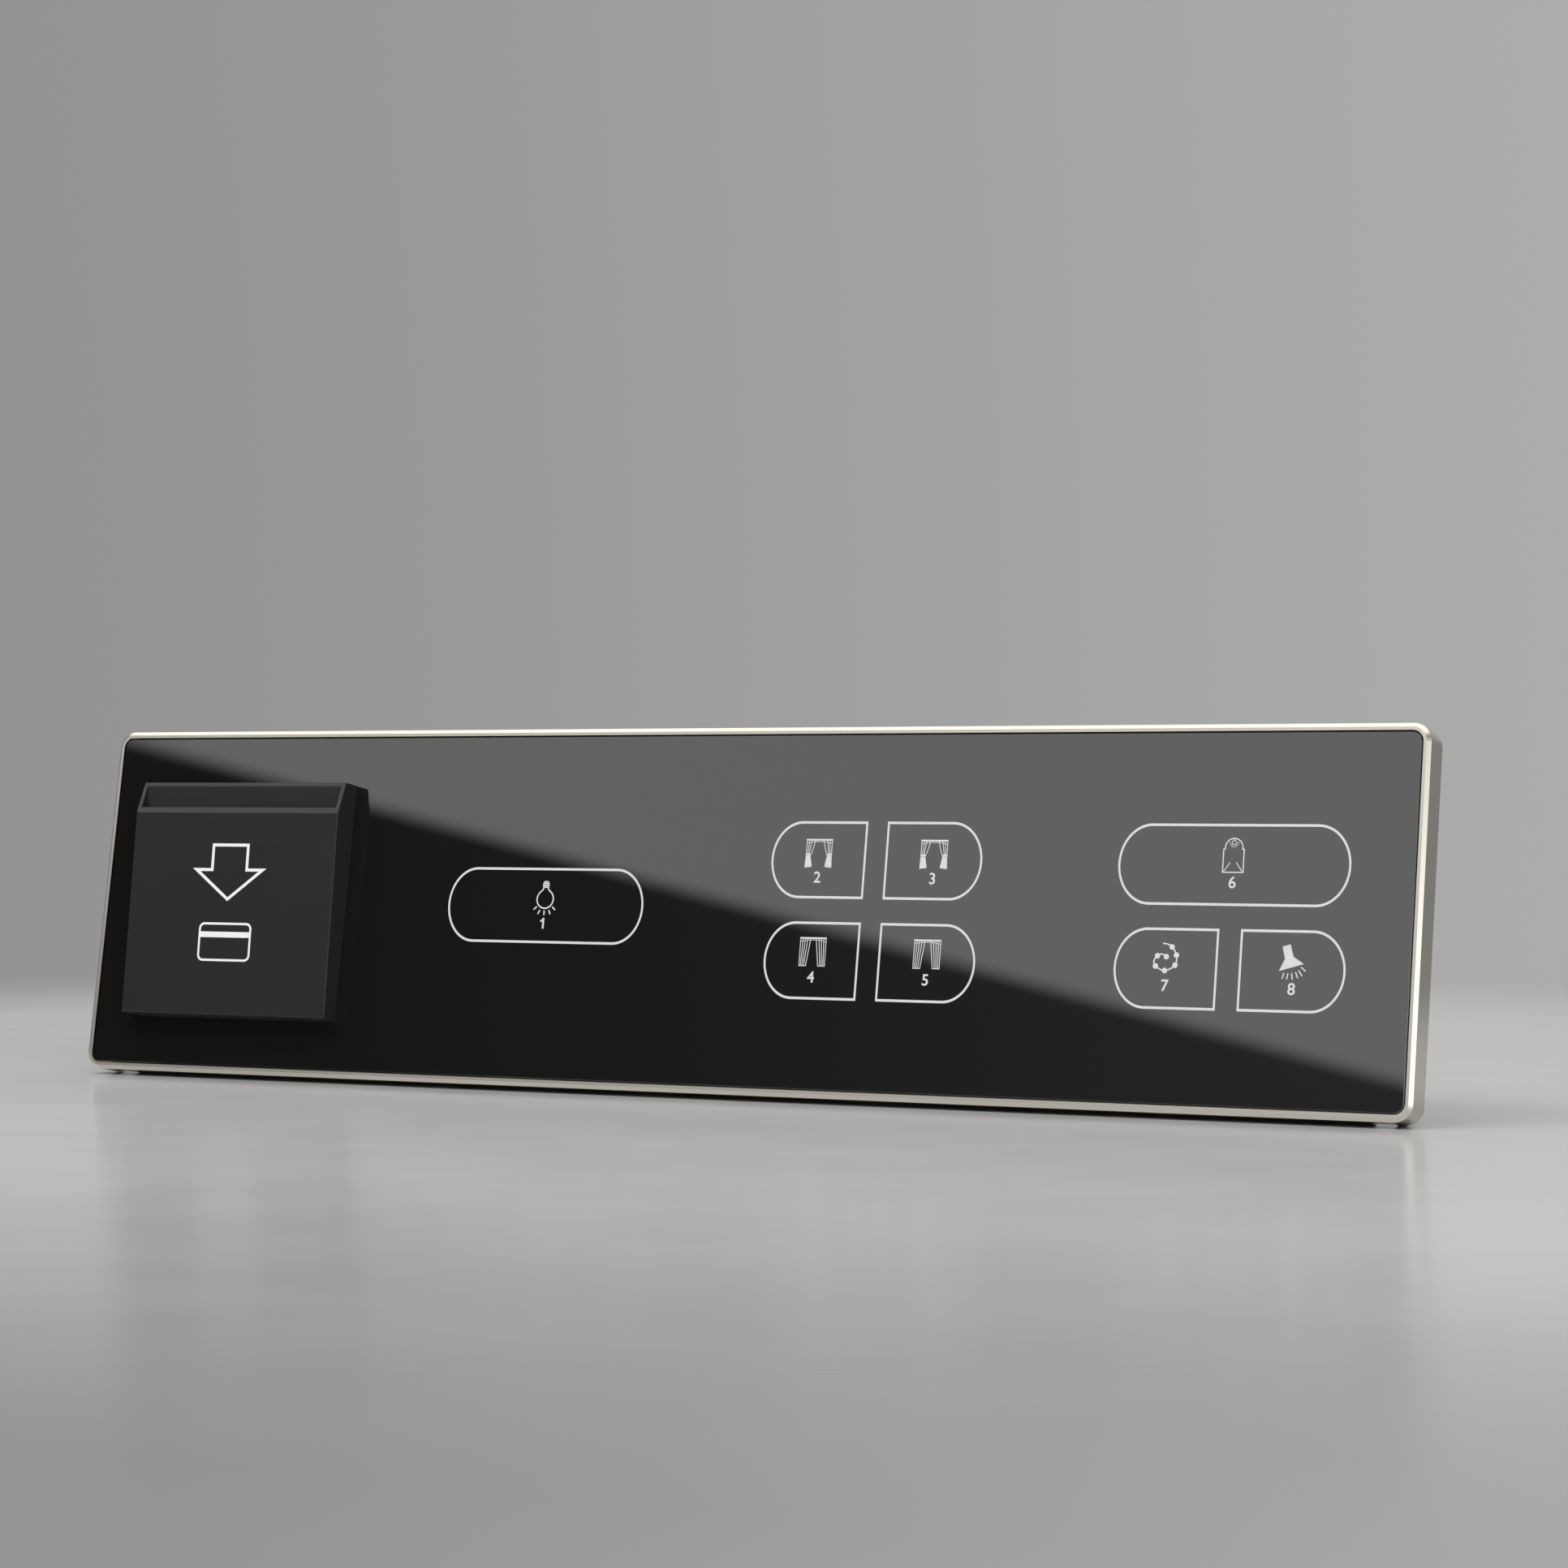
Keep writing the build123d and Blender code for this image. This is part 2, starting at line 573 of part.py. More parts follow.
# Pin headers on the boards and the sockets they plug into on the power boards
for name in GANG_NAMES:
    with BuildPart() as header:
        with BuildSketch(off_wall(header_end, gang_x[name], HEADER_Z)):
            Rectangle(header_width, header_length)
        extrude(amount=HEADER_HEIGHT)
        with BuildSketch(off_wall(header_end - PIN_LENGTH, gang_x[name], HEADER_Z)):
            with GridLocations(PIN_PITCH, PIN_PITCH, PIN_COLUMNS, PIN_ROWS):
                Rectangle(PIN_SIDE, PIN_SIDE)
        extrude(amount=PIN_LENGTH)
    header.part.label = f"{name}_header"
    export_step(header.part, f"parts/{name}_header.step")

    with BuildPart() as socket:
        with BuildSketch(off_wall(power_board_front, gang_x[name], HEADER_Z)):
            Rectangle(socket_width, socket_length)
        extrude(amount=socket_front - power_board_front)
        with BuildSketch(off_wall(socket_front - SOCKET_HOLE_DEPTH, gang_x[name], HEADER_Z)):
            with GridLocations(PIN_PITCH, PIN_PITCH, PIN_COLUMNS, PIN_ROWS):
                Rectangle(PIN_SIDE + 2 * PIN_CLEARANCE, PIN_SIDE + 2 * PIN_CLEARANCE)
        extrude(amount=SOCKET_HOLE_DEPTH, mode=Mode.SUBTRACT)
    socket.part.label = f"{name}_socket"
    export_step(socket.part, f"parts/{name}_socket.step")

# Mounting plate: folded sheet steel with an opening for the module and two box-screw slots for each gang
flange_length = plate_width - 2 * FLANGE_END_GAP
outer_bend_radius = FLANGE_BEND_RADIUS + PLATE_THICKNESS
with BuildPart() as mounting_plate:
    with BuildSketch(Plane.YZ.offset(-flange_length / 2)) as folded_profile:
        with Locations((-FLANGE_HEIGHT / 2, 0)):
            Rectangle(FLANGE_HEIGHT, plate_height)
        with Locations((-(FLANGE_HEIGHT + PLATE_THICKNESS) / 2, 0)):
            Rectangle(FLANGE_HEIGHT - PLATE_THICKNESS, flange_inner_height, mode=Mode.SUBTRACT)
        fillet(folded_profile.vertices().group_by(Axis.X)[-2], FLANGE_BEND_RADIUS)
        fillet(folded_profile.vertices().group_by(Axis.X)[-1], outer_bend_radius)
    extrude(amount=flange_length)
    with BuildSketch(off_wall(0)):
        RectangleRounded(plate_width, plate_height - 2 * outer_bend_radius, PLATE_CORNER_RADIUS)
    extrude(amount=PLATE_THICKNESS)
    with BuildSketch(off_wall(0)):
        with Locations(*[(gang_x[name], 0) for name in GANG_NAMES]):
            Rectangle(CASE_WIDTH + 2 * CASE_OPENING_CLEARANCE, CASE_HEIGHT + 2 * CASE_OPENING_CLEARANCE)
        box_screws = [
            (gang_x[name] + side * BOX_SCREW_SPACING / 2, 0) for name in GANG_NAMES for side in (-1, 1)
        ]
        with Locations(*box_screws):
            SlotOverall(BOX_SLOT_LENGTH, BOX_SLOT_WIDTH)
        with Locations(*module_screw_points):
            screw_section(MODULE_SCREW_DIAMETER + 2 * SCREW_FIT)
    extrude(amount=PLATE_THICKNESS, mode=Mode.SUBTRACT)
    with BuildSketch(Plane.XY.offset(-PANEL_HEIGHT / 2)):
        with Locations(*[(gang_x[name], -PLATE_THICKNESS - CLIP_WINDOW_HEIGHT / 2) for name in GANG_NAMES]):
            Rectangle(CLIP_WINDOW_WIDTH, CLIP_WINDOW_HEIGHT)
    extrude(amount=PANEL_HEIGHT, mode=Mode.SUBTRACT)
mounting_plate.part.label = "mounting_plate"
export_step(mounting_plate.part, "parts/mounting_plate.step")

# Spring clips: bent strips on the carrier's long walls whose bumps snap into the flange windows
clip_line = carrier_inner_height / 2 - CLIP_THICKNESS / 2
clip_tip = plate_height / 2 - CLIP_BITE + CLIP_THICKNESS / 2
clip_foot_height = carrier_back - CLIP_THICKNESS / 2
with BuildPart() as spring_clips:
    for name in GANG_NAMES:
        for side in (-1, 1):
            with BuildSketch(Plane(origin=(gang_x[name], 0, 0), x_dir=(0, -1, 0), z_dir=(-1, 0, 0))):
                with BuildLine():
                    Polyline(
                        (clip_foot_height, side * (clip_line - CLIP_FOOT)),
                        (clip_foot_height, side * clip_line),
                        (CLIP_BUMP_HEIGHT + CLIP_BUMP_HALF, side * clip_line),
                        (CLIP_BUMP_HEIGHT, side * clip_tip),
                        (CLIP_BUMP_HEIGHT - CLIP_BUMP_HALF, side * clip_line),
                        (CLIP_END_HEIGHT, side * clip_line),
                    )
                trace(line_width=CLIP_THICKNESS)
            extrude(amount=CLIP_WIDTH / 2, both=True)
spring_clips.part.label = "spring_clips"
export_step(spring_clips.part, "parts/spring_clips.step")

# Rear modules: each case hangs by its ears in the plate's opening, with its lid, power board and components
wire_hole_height = power_board_back - WIRE_HOLE_BELOW_BOARD
well_floor = terminal_end + TERMINAL_WELL_DEPTH
ear_front = PLATE_THICKNESS + EAR_THICKNESS
tongue_middle = -LID_THICKNESS + LID_TONGUE_THICKNESS / 2
tongue_beyond_lid = LID_TONGUE_REACH - LID_CLEARANCE
for name in GANG_NAMES:
    centre = gang_x[name]
    terminals = terminal_places(name)
    terminal_width = len(terminals) * TERMINAL_PITCH
    window_width = terminal_width + 2 * TERMINAL_CLEARANCE

    with BuildPart() as case:
        with BuildSketch(off_wall(-CASE_DEPTH, centre)) as case_outline:
            Rectangle(CASE_WIDTH, CASE_HEIGHT)
            chamfer(case_outline.vertices(), CASE_CORNER)
        extrude(amount=CASE_DEPTH)
        with BuildSketch(off_wall(case_back_inside, centre)):
            Rectangle(case_inner_width, case_inner_height)
        extrude(amount=CASE_DEPTH - CASE_WALL, mode=Mode.SUBTRACT)
        with BuildSketch(off_wall(case_back_inside, centre)):
            with Locations(*four_corners(pillar_x, pillar_z)):
                Rectangle(PILLAR_SIDE, PILLAR_SIDE)
        extrude(amount=-LID_THICKNESS - case_back_inside)
        with BuildSketch(off_wall(case_back_inside, centre)):
            with Locations(*[(side * (case_inner_width - RAIL_THICKNESS) / 2, 0) for side in (-1, 1)]):
                Rectangle(RAIL_THICKNESS, RAIL_LENGTH)
        extrude(amount=power_board_back - case_back_inside)
        with BuildSketch(off_wall(0, centre)):
            with Locations(*[(0, side * (CASE_HEIGHT - CASE_WALL) / 2) for side in (-1, 1)]):
                Rectangle(EAR_WIDTH, CASE_WALL)
        extrude(amount=ear_front)
        with BuildSketch(off_wall(PLATE_THICKNESS, centre)):
            with Locations(*[(0, side * (CASE_HEIGHT + EAR_REACH) / 2) for side in (-1, 1)]):
                Rectangle(EAR_WIDTH, EAR_REACH)
            with Locations(*module_screws_in_gang):
                screw_section(MODULE_SCREW_DIAMETER + 2 * SCREW_FIT, mode=Mode.SUBTRACT)
        extrude(amount=EAR_THICKNESS)
        with BuildSketch(Plane.XY.offset(-CASE_HEIGHT / 2)):
            with Locations((centre, -tongue_middle)):
                Rectangle(LID_TONGUE_WIDTH + 2 * LID_CLEARANCE, LID_TONGUE_THICKNESS + 2 * LID_CLEARANCE)
        extrude(amount=CASE_HEIGHT, mode=Mode.SUBTRACT)
        with BuildSketch(off_wall(-CASE_DEPTH, centre, terminal_z)):
            Rectangle(window_width, TERMINAL_HEIGHT + 2 * TERMINAL_CLEARANCE)
        extrude(amount=CASE_WALL, mode=Mode.SUBTRACT)
        with BuildSketch(Plane.XY.offset(-CASE_HEIGHT / 2)):
            with Locations((centre, -wire_hole_height)):
                Rectangle(window_width, WIRE_WINDOW_HEIGHT)
        extrude(amount=CASE_WALL, mode=Mode.SUBTRACT)
        with BuildSketch(Plane.YZ.offset(centre - CASE_WIDTH / 2)):
            with Locations((CASE_DEPTH / 2, VENT_Z)):
                with GridLocations(VENT_PITCH, 1, VENT_COUNT, 1):
                    Rectangle(VENT_WIDTH, VENT_LENGTH)
        extrude(amount=CASE_WIDTH, mode=Mode.SUBTRACT)
    case.part.label = f"{name}_case"
    export_step(case.part, f"parts/{name}_case.step")

    with BuildPart() as lid:
        with BuildSketch(off_wall(-LID_THICKNESS, centre)):
            Rectangle(case_inner_width - 2 * LID_CLEARANCE, case_inner_height - 2 * LID_CLEARANCE)
            with Locations((0, HEADER_Z)):
                Rectangle(
                    socket_width + 2 * SOCKET_WINDOW_CLEARANCE,
                    socket_length + 2 * SOCKET_WINDOW_CLEARANCE,
                    mode=Mode.SUBTRACT,
                )
        extrude(amount=LID_THICKNESS)
        with BuildSketch(off_wall(-LID_THICKNESS, centre)):
            with Locations(*[(0, side * (case_inner_height + tongue_beyond_lid) / 2) for side in (-1, 1)]):
                Rectangle(LID_TONGUE_WIDTH, LID_TONGUE_REACH + LID_CLEARANCE)
        extrude(amount=LID_TONGUE_THICKNESS)
        with BuildSketch(off_wall(power_board_front, centre)):
            with Locations(*four_corners(LID_LEG_X, LID_LEG_Z)):
                Rectangle(LID_LEG_SIDE, LID_LEG_SIDE)
        extrude(amount=-LID_THICKNESS - power_board_front)
    lid.part.label = f"{name}_lid"
    export_step(lid.part, f"parts/{name}_lid.step")

    with BuildPart() as power_board:
        with BuildSketch(off_wall(power_board_back, centre)):
            Rectangle(
                case_inner_width - 2 * POWER_BOARD_CLEARANCE,
                case_inner_height - 2 * POWER_BOARD_CLEARANCE,
            )
            with Locations(*four_corners(pillar_x, pillar_z)):
                Rectangle(
                    PILLAR_SIDE + 2 * POWER_BOARD_CLEARANCE,
                    PILLAR_SIDE + 2 * POWER_BOARD_CLEARANCE,
                    mode=Mode.SUBTRACT,
                )
        extrude(amount=POWER_BOARD_THICKNESS)
    power_board.part.label = f"{name}_power_board"
    export_step(power_board.part, f"parts/{name}_power_board.step")

    width = CARD_RELAY_WIDTH if name == "card" else relay_width
    with BuildPart() as relays:
        with BuildSketch(off_wall(power_board_back - RELAY_HEIGHT, centre, relay_z)):
            with Locations(*[(x, 0) for x in evenly_spaced(len(LOADS[name]), width + RELAY_GAP)]):
                Rectangle(width, RELAY_LENGTH)
        extrude(amount=RELAY_HEIGHT)
        chamfer(relays.faces().group_by(Axis.Y)[-1].edges(), COMPONENT_CHAMFER)
    relays.part.label = f"{name}_relays"
    export_step(relays.part, f"parts/{name}_relays.step")

    with BuildPart() as terminal_block:
        with BuildSketch(off_wall(terminal_end, centre, terminal_z)):
            Rectangle(terminal_width, TERMINAL_HEIGHT)
        extrude(amount=power_board_back - terminal_end)
        with BuildSketch(off_wall(terminal_end, centre, terminal_z)):
            with Locations(*[(x, 0) for x in terminals]):
                screw_section(TERMINAL_SCREW_HEAD_DIAMETER + 2 * TERMINAL_WELL_CLEARANCE)
        extrude(amount=TERMINAL_WELL_DEPTH, mode=Mode.SUBTRACT)
        with BuildSketch(off_wall(well_floor, centre, terminal_z)):
            with Locations(*[(x, 0) for x in terminals]):
                screw_section(TERMINAL_SCREW_DIAMETER + 2 * SCREW_FIT)
        extrude(amount=TERMINAL_SCREW_SHANK, mode=Mode.SUBTRACT)
        with BuildSketch(Plane.XY.offset(terminal_z - TERMINAL_HEIGHT / 2)):
            with Locations(*[(centre + x, -wire_hole_height) for x in terminals]):
                Rectangle(WIRE_HOLE_WIDTH, WIRE_HOLE_HEIGHT)
        extrude(amount=WIRE_HOLE_DEPTH, mode=Mode.SUBTRACT)
    terminal_block.part.label = f"{name}_terminal_block"
    export_step(terminal_block.part, f"parts/{name}_terminal_block.step")

# Power supply blocks at the tops of the power boards
with BuildPart() as power_supplies:
    with BuildSketch(off_wall(power_board_back - SUPPLY_HEIGHT)):
        with Locations(*[(gang_x[name], supply_z) for name in GANG_NAMES]):
            Rectangle(SUPPLY_WIDTH, SUPPLY_LENGTH)
    extrude(amount=SUPPLY_HEIGHT)
    chamfer(power_supplies.faces().group_by(Axis.Y)[-1].edges(), COMPONENT_CHAMFER)
power_supplies.part.label = "power_supplies"
export_step(power_supplies.part, "parts/power_supplies.step")

# Terminal screws in their wells, heads towards the back of the wall box
terminal_screw_points = [
    (gang_x[name] + x, terminal_z) for name in GANG_NAMES for x in terminal_places(name)
]
screw_head_back = well_floor - TERMINAL_SCREW_HEAD_HEIGHT
with BuildPart() as terminal_screws:
    with BuildSketch(off_wall(screw_head_back)):
        with Locations(*terminal_screw_points):
            screw_section(TERMINAL_SCREW_HEAD_DIAMETER)
    extrude(amount=TERMINAL_SCREW_HEAD_HEIGHT)
    with BuildSketch(off_wall(well_floor)):
        with Locations(*terminal_screw_points):
            screw_section(TERMINAL_SCREW_DIAMETER)
    extrude(amount=TERMINAL_SCREW_SHANK)
terminal_screws.part.label = "terminal_screws"
export_step(terminal_screws.part, "parts/terminal_screws.step")

# Screws through the ears of the cases into the plate
with BuildPart() as module_screws:
    with BuildSketch(off_wall(ear_front)):
        with Locations(*module_screw_points):
            screw_section(MODULE_SCREW_HEAD_DIAMETER)
    extrude(amount=MODULE_SCREW_HEAD_HEIGHT)
    with BuildSketch(off_wall(0)):
        with Locations(*module_screw_points):
            screw_section(MODULE_SCREW_DIAMETER)
    extrude(amount=ear_front)
module_screws.part.label = "module_screws"
export_step(module_screws.part, "parts/module_screws.step")
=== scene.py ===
import json
import math

import bmesh
import bpy
from mathutils import Matrix, Vector

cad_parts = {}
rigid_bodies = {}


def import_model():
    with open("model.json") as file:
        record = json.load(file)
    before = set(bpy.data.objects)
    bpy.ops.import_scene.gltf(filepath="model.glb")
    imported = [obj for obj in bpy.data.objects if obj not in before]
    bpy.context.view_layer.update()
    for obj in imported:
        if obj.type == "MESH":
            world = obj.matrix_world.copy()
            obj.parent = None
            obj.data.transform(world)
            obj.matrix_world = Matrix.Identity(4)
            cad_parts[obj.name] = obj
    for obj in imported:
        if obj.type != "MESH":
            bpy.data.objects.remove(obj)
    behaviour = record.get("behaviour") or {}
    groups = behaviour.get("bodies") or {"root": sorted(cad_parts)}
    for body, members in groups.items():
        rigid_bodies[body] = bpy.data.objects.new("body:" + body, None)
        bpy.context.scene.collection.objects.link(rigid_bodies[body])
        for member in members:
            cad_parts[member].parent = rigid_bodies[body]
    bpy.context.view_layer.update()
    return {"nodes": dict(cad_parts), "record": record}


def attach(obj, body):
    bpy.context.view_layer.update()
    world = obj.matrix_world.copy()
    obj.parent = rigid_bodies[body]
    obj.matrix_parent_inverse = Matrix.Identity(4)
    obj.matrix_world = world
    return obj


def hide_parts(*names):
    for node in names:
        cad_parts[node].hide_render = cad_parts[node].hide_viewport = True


# Glass touch switch of four gangs with a key-card holder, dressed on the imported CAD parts.
# Sizes are in millimetres unless a name or a comment says otherwise, and MM turns them into metres.
# X is the width, Z is up and -Y points into the room.
MM = 0.001

# Panel
PANEL_DEPTH = 8.8
PANEL_HALF_HEIGHT = 43.0
GANG_PITCH = 86.0
GANG_X = {name: (i - 1.5) * GANG_PITCH for i, name in enumerate(["card", "room", "curtain", "lamp"])}

# White ink, with its shade on the glass and on the card holder, where it covers the black below better.
# A second coat lifts a shape over the lines that it crosses.
INK_THICKNESS = 0.02
SECOND_COAT = 0.012
GLASS_INK_SHADE = 0.69
HOLDER_INK_SHADE = 0.9
SHARPEST_MITRE = 0.2

# Outlines of the touch keys, with their middles as X and Z
OUTLINE_WIDTH = 0.57
KEY_WIDTH = 53.48
KEY_HEIGHT = 18.12
KEY_SQUEEZE = 0.843
HALF_KEY_WIDTH = 24.03
HALF_KEY_HEIGHT = 17.97
HALF_KEY_X = 14.5
WHOLE_KEYS = [(-42.94, 0.16), (129.1, 11.66)]
HALF_KEY_PAIRS = [(43.07, 11.84), (43.07, -11.52), (129.32, -11.42)]
KEY_STEPS = 40

# Widths of the lines in the pictograms
ICON_LINE = 0.33
FOLD_LINE = 0.17
CLOTH_ARCH_LINE = 0.13
PORCH_ARCH_LINE = ICON_LINE * 0.75
PORCH_LAMP_LINE = 0.16
PORCH_RAY_LINE = 0.14
PORCH_BEAM_LINE = 0.18
STRING_LINE = 0.3
SPOT_RAY_LINE = 0.26

# Numbers in the keys. The built-in font's size is larger than the digits that it draws.
NUMBER_HEIGHT = 2.6
FONT_SIZE = NUMBER_HEIGHT * 1.4
NUMBER_BOLDNESS = 0.05
NUMBER_STROKE = 0.42
MERGE_DISTANCE = 0.0001

# Card holder's sloping front face and the print on it
HOLDER_BOTTOM = -29.0
HOLDER_FOOT_DEPTH = 5.0
FACE_SLOPE = 2.4 / 50.0
HOLDER_PRINT_X = -129.65
ARROW_LINE = 0.75
CARD_LINE = 0.55
CARD_Z = -11.05

# Screws. Their heads stand on a seat, which is given as Y.
SCREW_BEVEL = 0.25
SCREW_SIDES = 32
SCREW_SEED = 7
TERMINALS = {"card": 3, "room": 3, "curtain": 6, "lamp": 5}
TERMINAL_PITCH = 5.0
TERMINAL_Z = -20.9
TERMINAL_SEAT_Y = 23.0
MODULE_SCREW_X = 17.0
MODULE_SCREW_Z = 29.95
MODULE_SEAT_Y = -2.2
POST_X = 25.5
POST_Z = 22.0
POST_SEAT_Y = -3.8

# Control chips on the backs of the boards, and their legs
CHIP_SIDE = 7.0
CHIP_Z = 9.0
CHIP_BOARD_Y = -2.3
LEG_COUNT = 11
LEG_PITCH = 0.55
LEG_WIDTH = 0.24
LEG_LENGTH = 0.9
LEG_THICKNESS = 0.2
LEG_REACH = 0.4

# A quarter turn, and the turns that point a shape's top to the room or to the wall
QUARTER = math.pi / 2
TOWARDS_ROOM = (QUARTER, 0, 0)
TOWARDS_WALL = (-QUARTER, 0, 0)

# Finish of the metal trim. Its lip is where the direction that the surface faces has a Y below LIP_FACING.
TRIM_COLOUR = (0.76, 0.728, 0.645)
TRIM_SHADE = (0.74, 0.706, 0.622)
TRIM_ROUGHNESS = 0.16
LIP_ROUGHNESS = 0.3
LIP_FACING = -0.97
GRAIN_ROUGHNESS = 0.04

# Boards, the antenna coil's copper turns, and the headers, whose pins start behind their housing
BOARD_GREEN = (0.012, 0.1, 0.045)
COPPER = (0.8, 0.42, 0.22)
COIL_TURN_PITCH = 0.5
COPPER_SHARE = 0.6
HOUSING_BLACK = (0.02, 0.02, 0.02)
HOUSING_ROUGHNESS = 0.45
PIN_GOLD = (0.83, 0.62, 0.3)
PIN_ROUGHNESS = 0.25
PIN_START_Y = 0.2

# Plastics and rubber, and plated steels, each with its colour and roughness
PLASTICS = {
    "carrier_plastic": ((0.03, 0.03, 0.032), 0.5),
    "adhesive": ((0.1, 0.1, 0.1), 0.8),
    "conductive_rubber": ((0.02, 0.02, 0.02), 0.75),
    "led": ((0.85, 0.83, 0.7), 0.3),
    "chip": ((0.018, 0.018, 0.018), 0.55),
    "connector": ((0.02, 0.02, 0.02), 0.4),
    "case_plastic": ((0.6, 0.6, 0.59), 0.45),
    "relay_plastic": ((0.02, 0.06, 0.2), 0.35),
    "supply_plastic": ((0.03, 0.03, 0.03), 0.4),
    "terminal_plastic": ((0.03, 0.2, 0.08), 0.4),
}
STEELS = {
    "spring_steel": ((0.55, 0.54, 0.52), 0.28),
    "zinc_steel": ((0.62, 0.63, 0.64), 0.36),
    "screw_steel": ((0.6, 0.6, 0.59), 0.3),
}

# Patterns run mostly between these two values, so a finish goes from one end to the other between them
PATTERN_LOW = 0.3
PATTERN_HIGH = 0.7

# Studio: the panel leans back, so the floor under it is tilted in the CAD frame
LEAN = math.radians(10.0)
CAMERA_AZIMUTH = math.radians(26.4)
CAMERA_PLACE = (400.3, -766.8, -104.1)
CAMERA_LENS = 85.0
CAMERA_SENSOR = 36.0
CAMERA_REACH_METRES = 50.0

# Floor, with painted shade: its colour darkens towards the front, where less light falls. Its shade is 1
# under the panel and falls by the slope for each metre towards the front, and the lower the shade, the
# nearer the floor's grey is to the painted front grey.
FLOOR_GREY = 0.43
FLOOR_PAINTED_SHADE_GREY = 0.19
FLOOR_PAINTED_SHADE_SLOPE = 1.6
FLOOR_NEAR_RADIUS = 330.0
FLOOR_FAR_RADIUS = 620.0
FLOOR_HALF_SIDE = 700.0

# Studio walls. Each has the edge where it fades in, as two heights of the ray's direction along an axis,
# and a strength, where 1 is white. Two strengths go from one side of the edge to the other.
RIGHT = (1, 0, 0)
BACK = (0, 1, 0)
UP = (0, 0, 1)
DARK_ROOM_EDGE = (-0.6, -0.25)
DARK_ROOM = (0.02, 0.12)
LIT_ROOM_EDGE = (-0.003, 0.0038)
LIT_ROOM = 1.07
FRONT_RIGHT_EDGE = (-0.1, 0.35)
FRONT_RIGHT = 0.35
LEFT_WALL_EDGE = (-0.64, -0.22)
LEFT_WALL = (0.295, 0.41)
RIGHT_WALL_EDGE = (0.0, 0.3)
RIGHT_WALL = 0.23
BACK_WALL_EDGE = (-0.45, -0.1)
OVERHEAD_EDGE = (0.5, 0.8)
OVERHEAD = 1.4
WINDOW_SILL_EDGE = (0.09, 0.19)
WINDOW = (2.0, 0.85)
WINDOW_MIDDLE = (0.885, -0.45, 0.12)
WINDOW_EDGE = (0.93, 0.98)

# Ends, as X and Z, of the edge between the lit and the dark room as the glass mirrors it
MIRRORED_EDGE_ENDS = [(-172.0, 41.0), (170.0, -35.0)]

# Brightest wall that the camera itself sees, so that no light of the studio stands white behind the part
WALL_IN_VIEW = 0.5

# Lamps, each with its place and side in metres and its power in watts
LAMPS = {
    "key_lamp": ((-0.45, -0.8, 1.1), 0.8, 9.5),
    "fill_lamp": ((0.8, -0.8, 0.7), 0.7, 4.0),
}


def new_object(name, data):
    """An object in the scene, made from its data."""
    thing = bpy.data.objects.new(name, data)
    bpy.context.scene.collection.objects.link(thing)
    return thing


def new_piece(name, mesh, body):
    """A piece that rides on a body."""
    piece = new_object(name, mesh)
    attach(piece, body)
    return piece


def printed_piece(name, bm, ink):
    """A piece of white print on the front of the panel."""
    bmesh.ops.recalc_face_normals(bm, faces=bm.faces)
    mesh = bpy.data.meshes.new(name)
    bm.to_mesh(mesh)
    bm.free()
    mesh.materials.append(ink)
    new_piece(name, mesh, "front_panel")


def plain_mesh(maker):
    """The finished mesh of an object that makes one, such as a text. The object is then removed."""
    depsgraph = bpy.context.evaluated_depsgraph_get()
    mesh = bpy.data.meshes.new_from_object(maker.evaluated_get(depsgraph))
    bpy.data.objects.remove(maker)
    return mesh


def on_glass(x, z, rise):
    """A point of the print on the front of the glass."""
    return Vector((x, -PANEL_DEPTH - rise, z)) * MM


def on_squeezed_glass(x, z, rise):
    """A point of the keys' outlines, drawn with round ends and then squeezed from side to side."""
    return on_glass(x * KEY_SQUEEZE, z, rise)


def on_holder(x, z, rise):
    """A point of the print on the card holder's sloping face."""
    depth = HOLDER_FOOT_DEPTH + (z - HOLDER_BOTTOM) * FACE_SLOPE
    return Vector((x, -PANEL_DEPTH - depth - rise, z)) * MM


def add_band(bm, points, width, surface, closed=False, coat=0.0):
    """A flat printed line of one width along points, with mitred corners, laid on a surface.
    A coat raises it over the lines that it crosses."""
    count = len(points)
    sides = []
    for i, point in enumerate(points):
        here = Vector(point)
        before = Vector(points[i - 1]) if closed or i > 0 else None
        after = Vector(points[(i + 1) % count]) if closed or i < count - 1 else None
        into = (here - before).normalized() if before is not None else (after - here).normalized()
        out = (after - here).normalized() if after is not None else into
        normal = Vector((-into.y - out.y, into.x + out.x)).normalized()
        reach = width / 2 / max(normal.dot(Vector((-into.y, into.x))), SHARPEST_MITRE)
        sides.append((here + normal * reach, here - normal * reach))
    top = INK_THICKNESS + coat
    rings = []
    for left, right in sides:
        corners = ((left, 0), (right, 0), (right, top), (left, top))
        rings.append([bm.verts.new(surface(p.x, p.y, rise)) for p, rise in corners])
    last = count if closed else count - 1
    for i in range(last):
        a, b = rings[i], rings[(i + 1) % count]
        for k in range(4):
            bm.faces.new((a[k], a[(k + 1) % 4], b[(k + 1) % 4], b[k]))
    if not closed:
        bm.faces.new(rings[0])
        bm.faces.new(rings[-1])


def add_patch(bm, points, surface):
    """A filled printed shape, laid on a surface over the lines that it crosses."""
    low = [bm.verts.new(surface(x, z, 0)) for x, z in points]
    high = [bm.verts.new(surface(x, z, INK_THICKNESS + SECOND_COAT)) for x, z in points]
    bm.faces.new(low)
    bm.faces.new(high)
    for i in range(len(points)):
        k = (i + 1) % len(points)
        bm.faces.new((low[i], low[k], high[k], high[i]))


def arc(x, z, radius, start, end, steps):
    """Points along an arc, with its angles in degrees."""
    angles = [math.radians(start + (end - start) * i / steps) for i in range(steps + 1)]
    return [(x + radius * math.cos(a), z + radius * math.sin(a)) for a in angles]


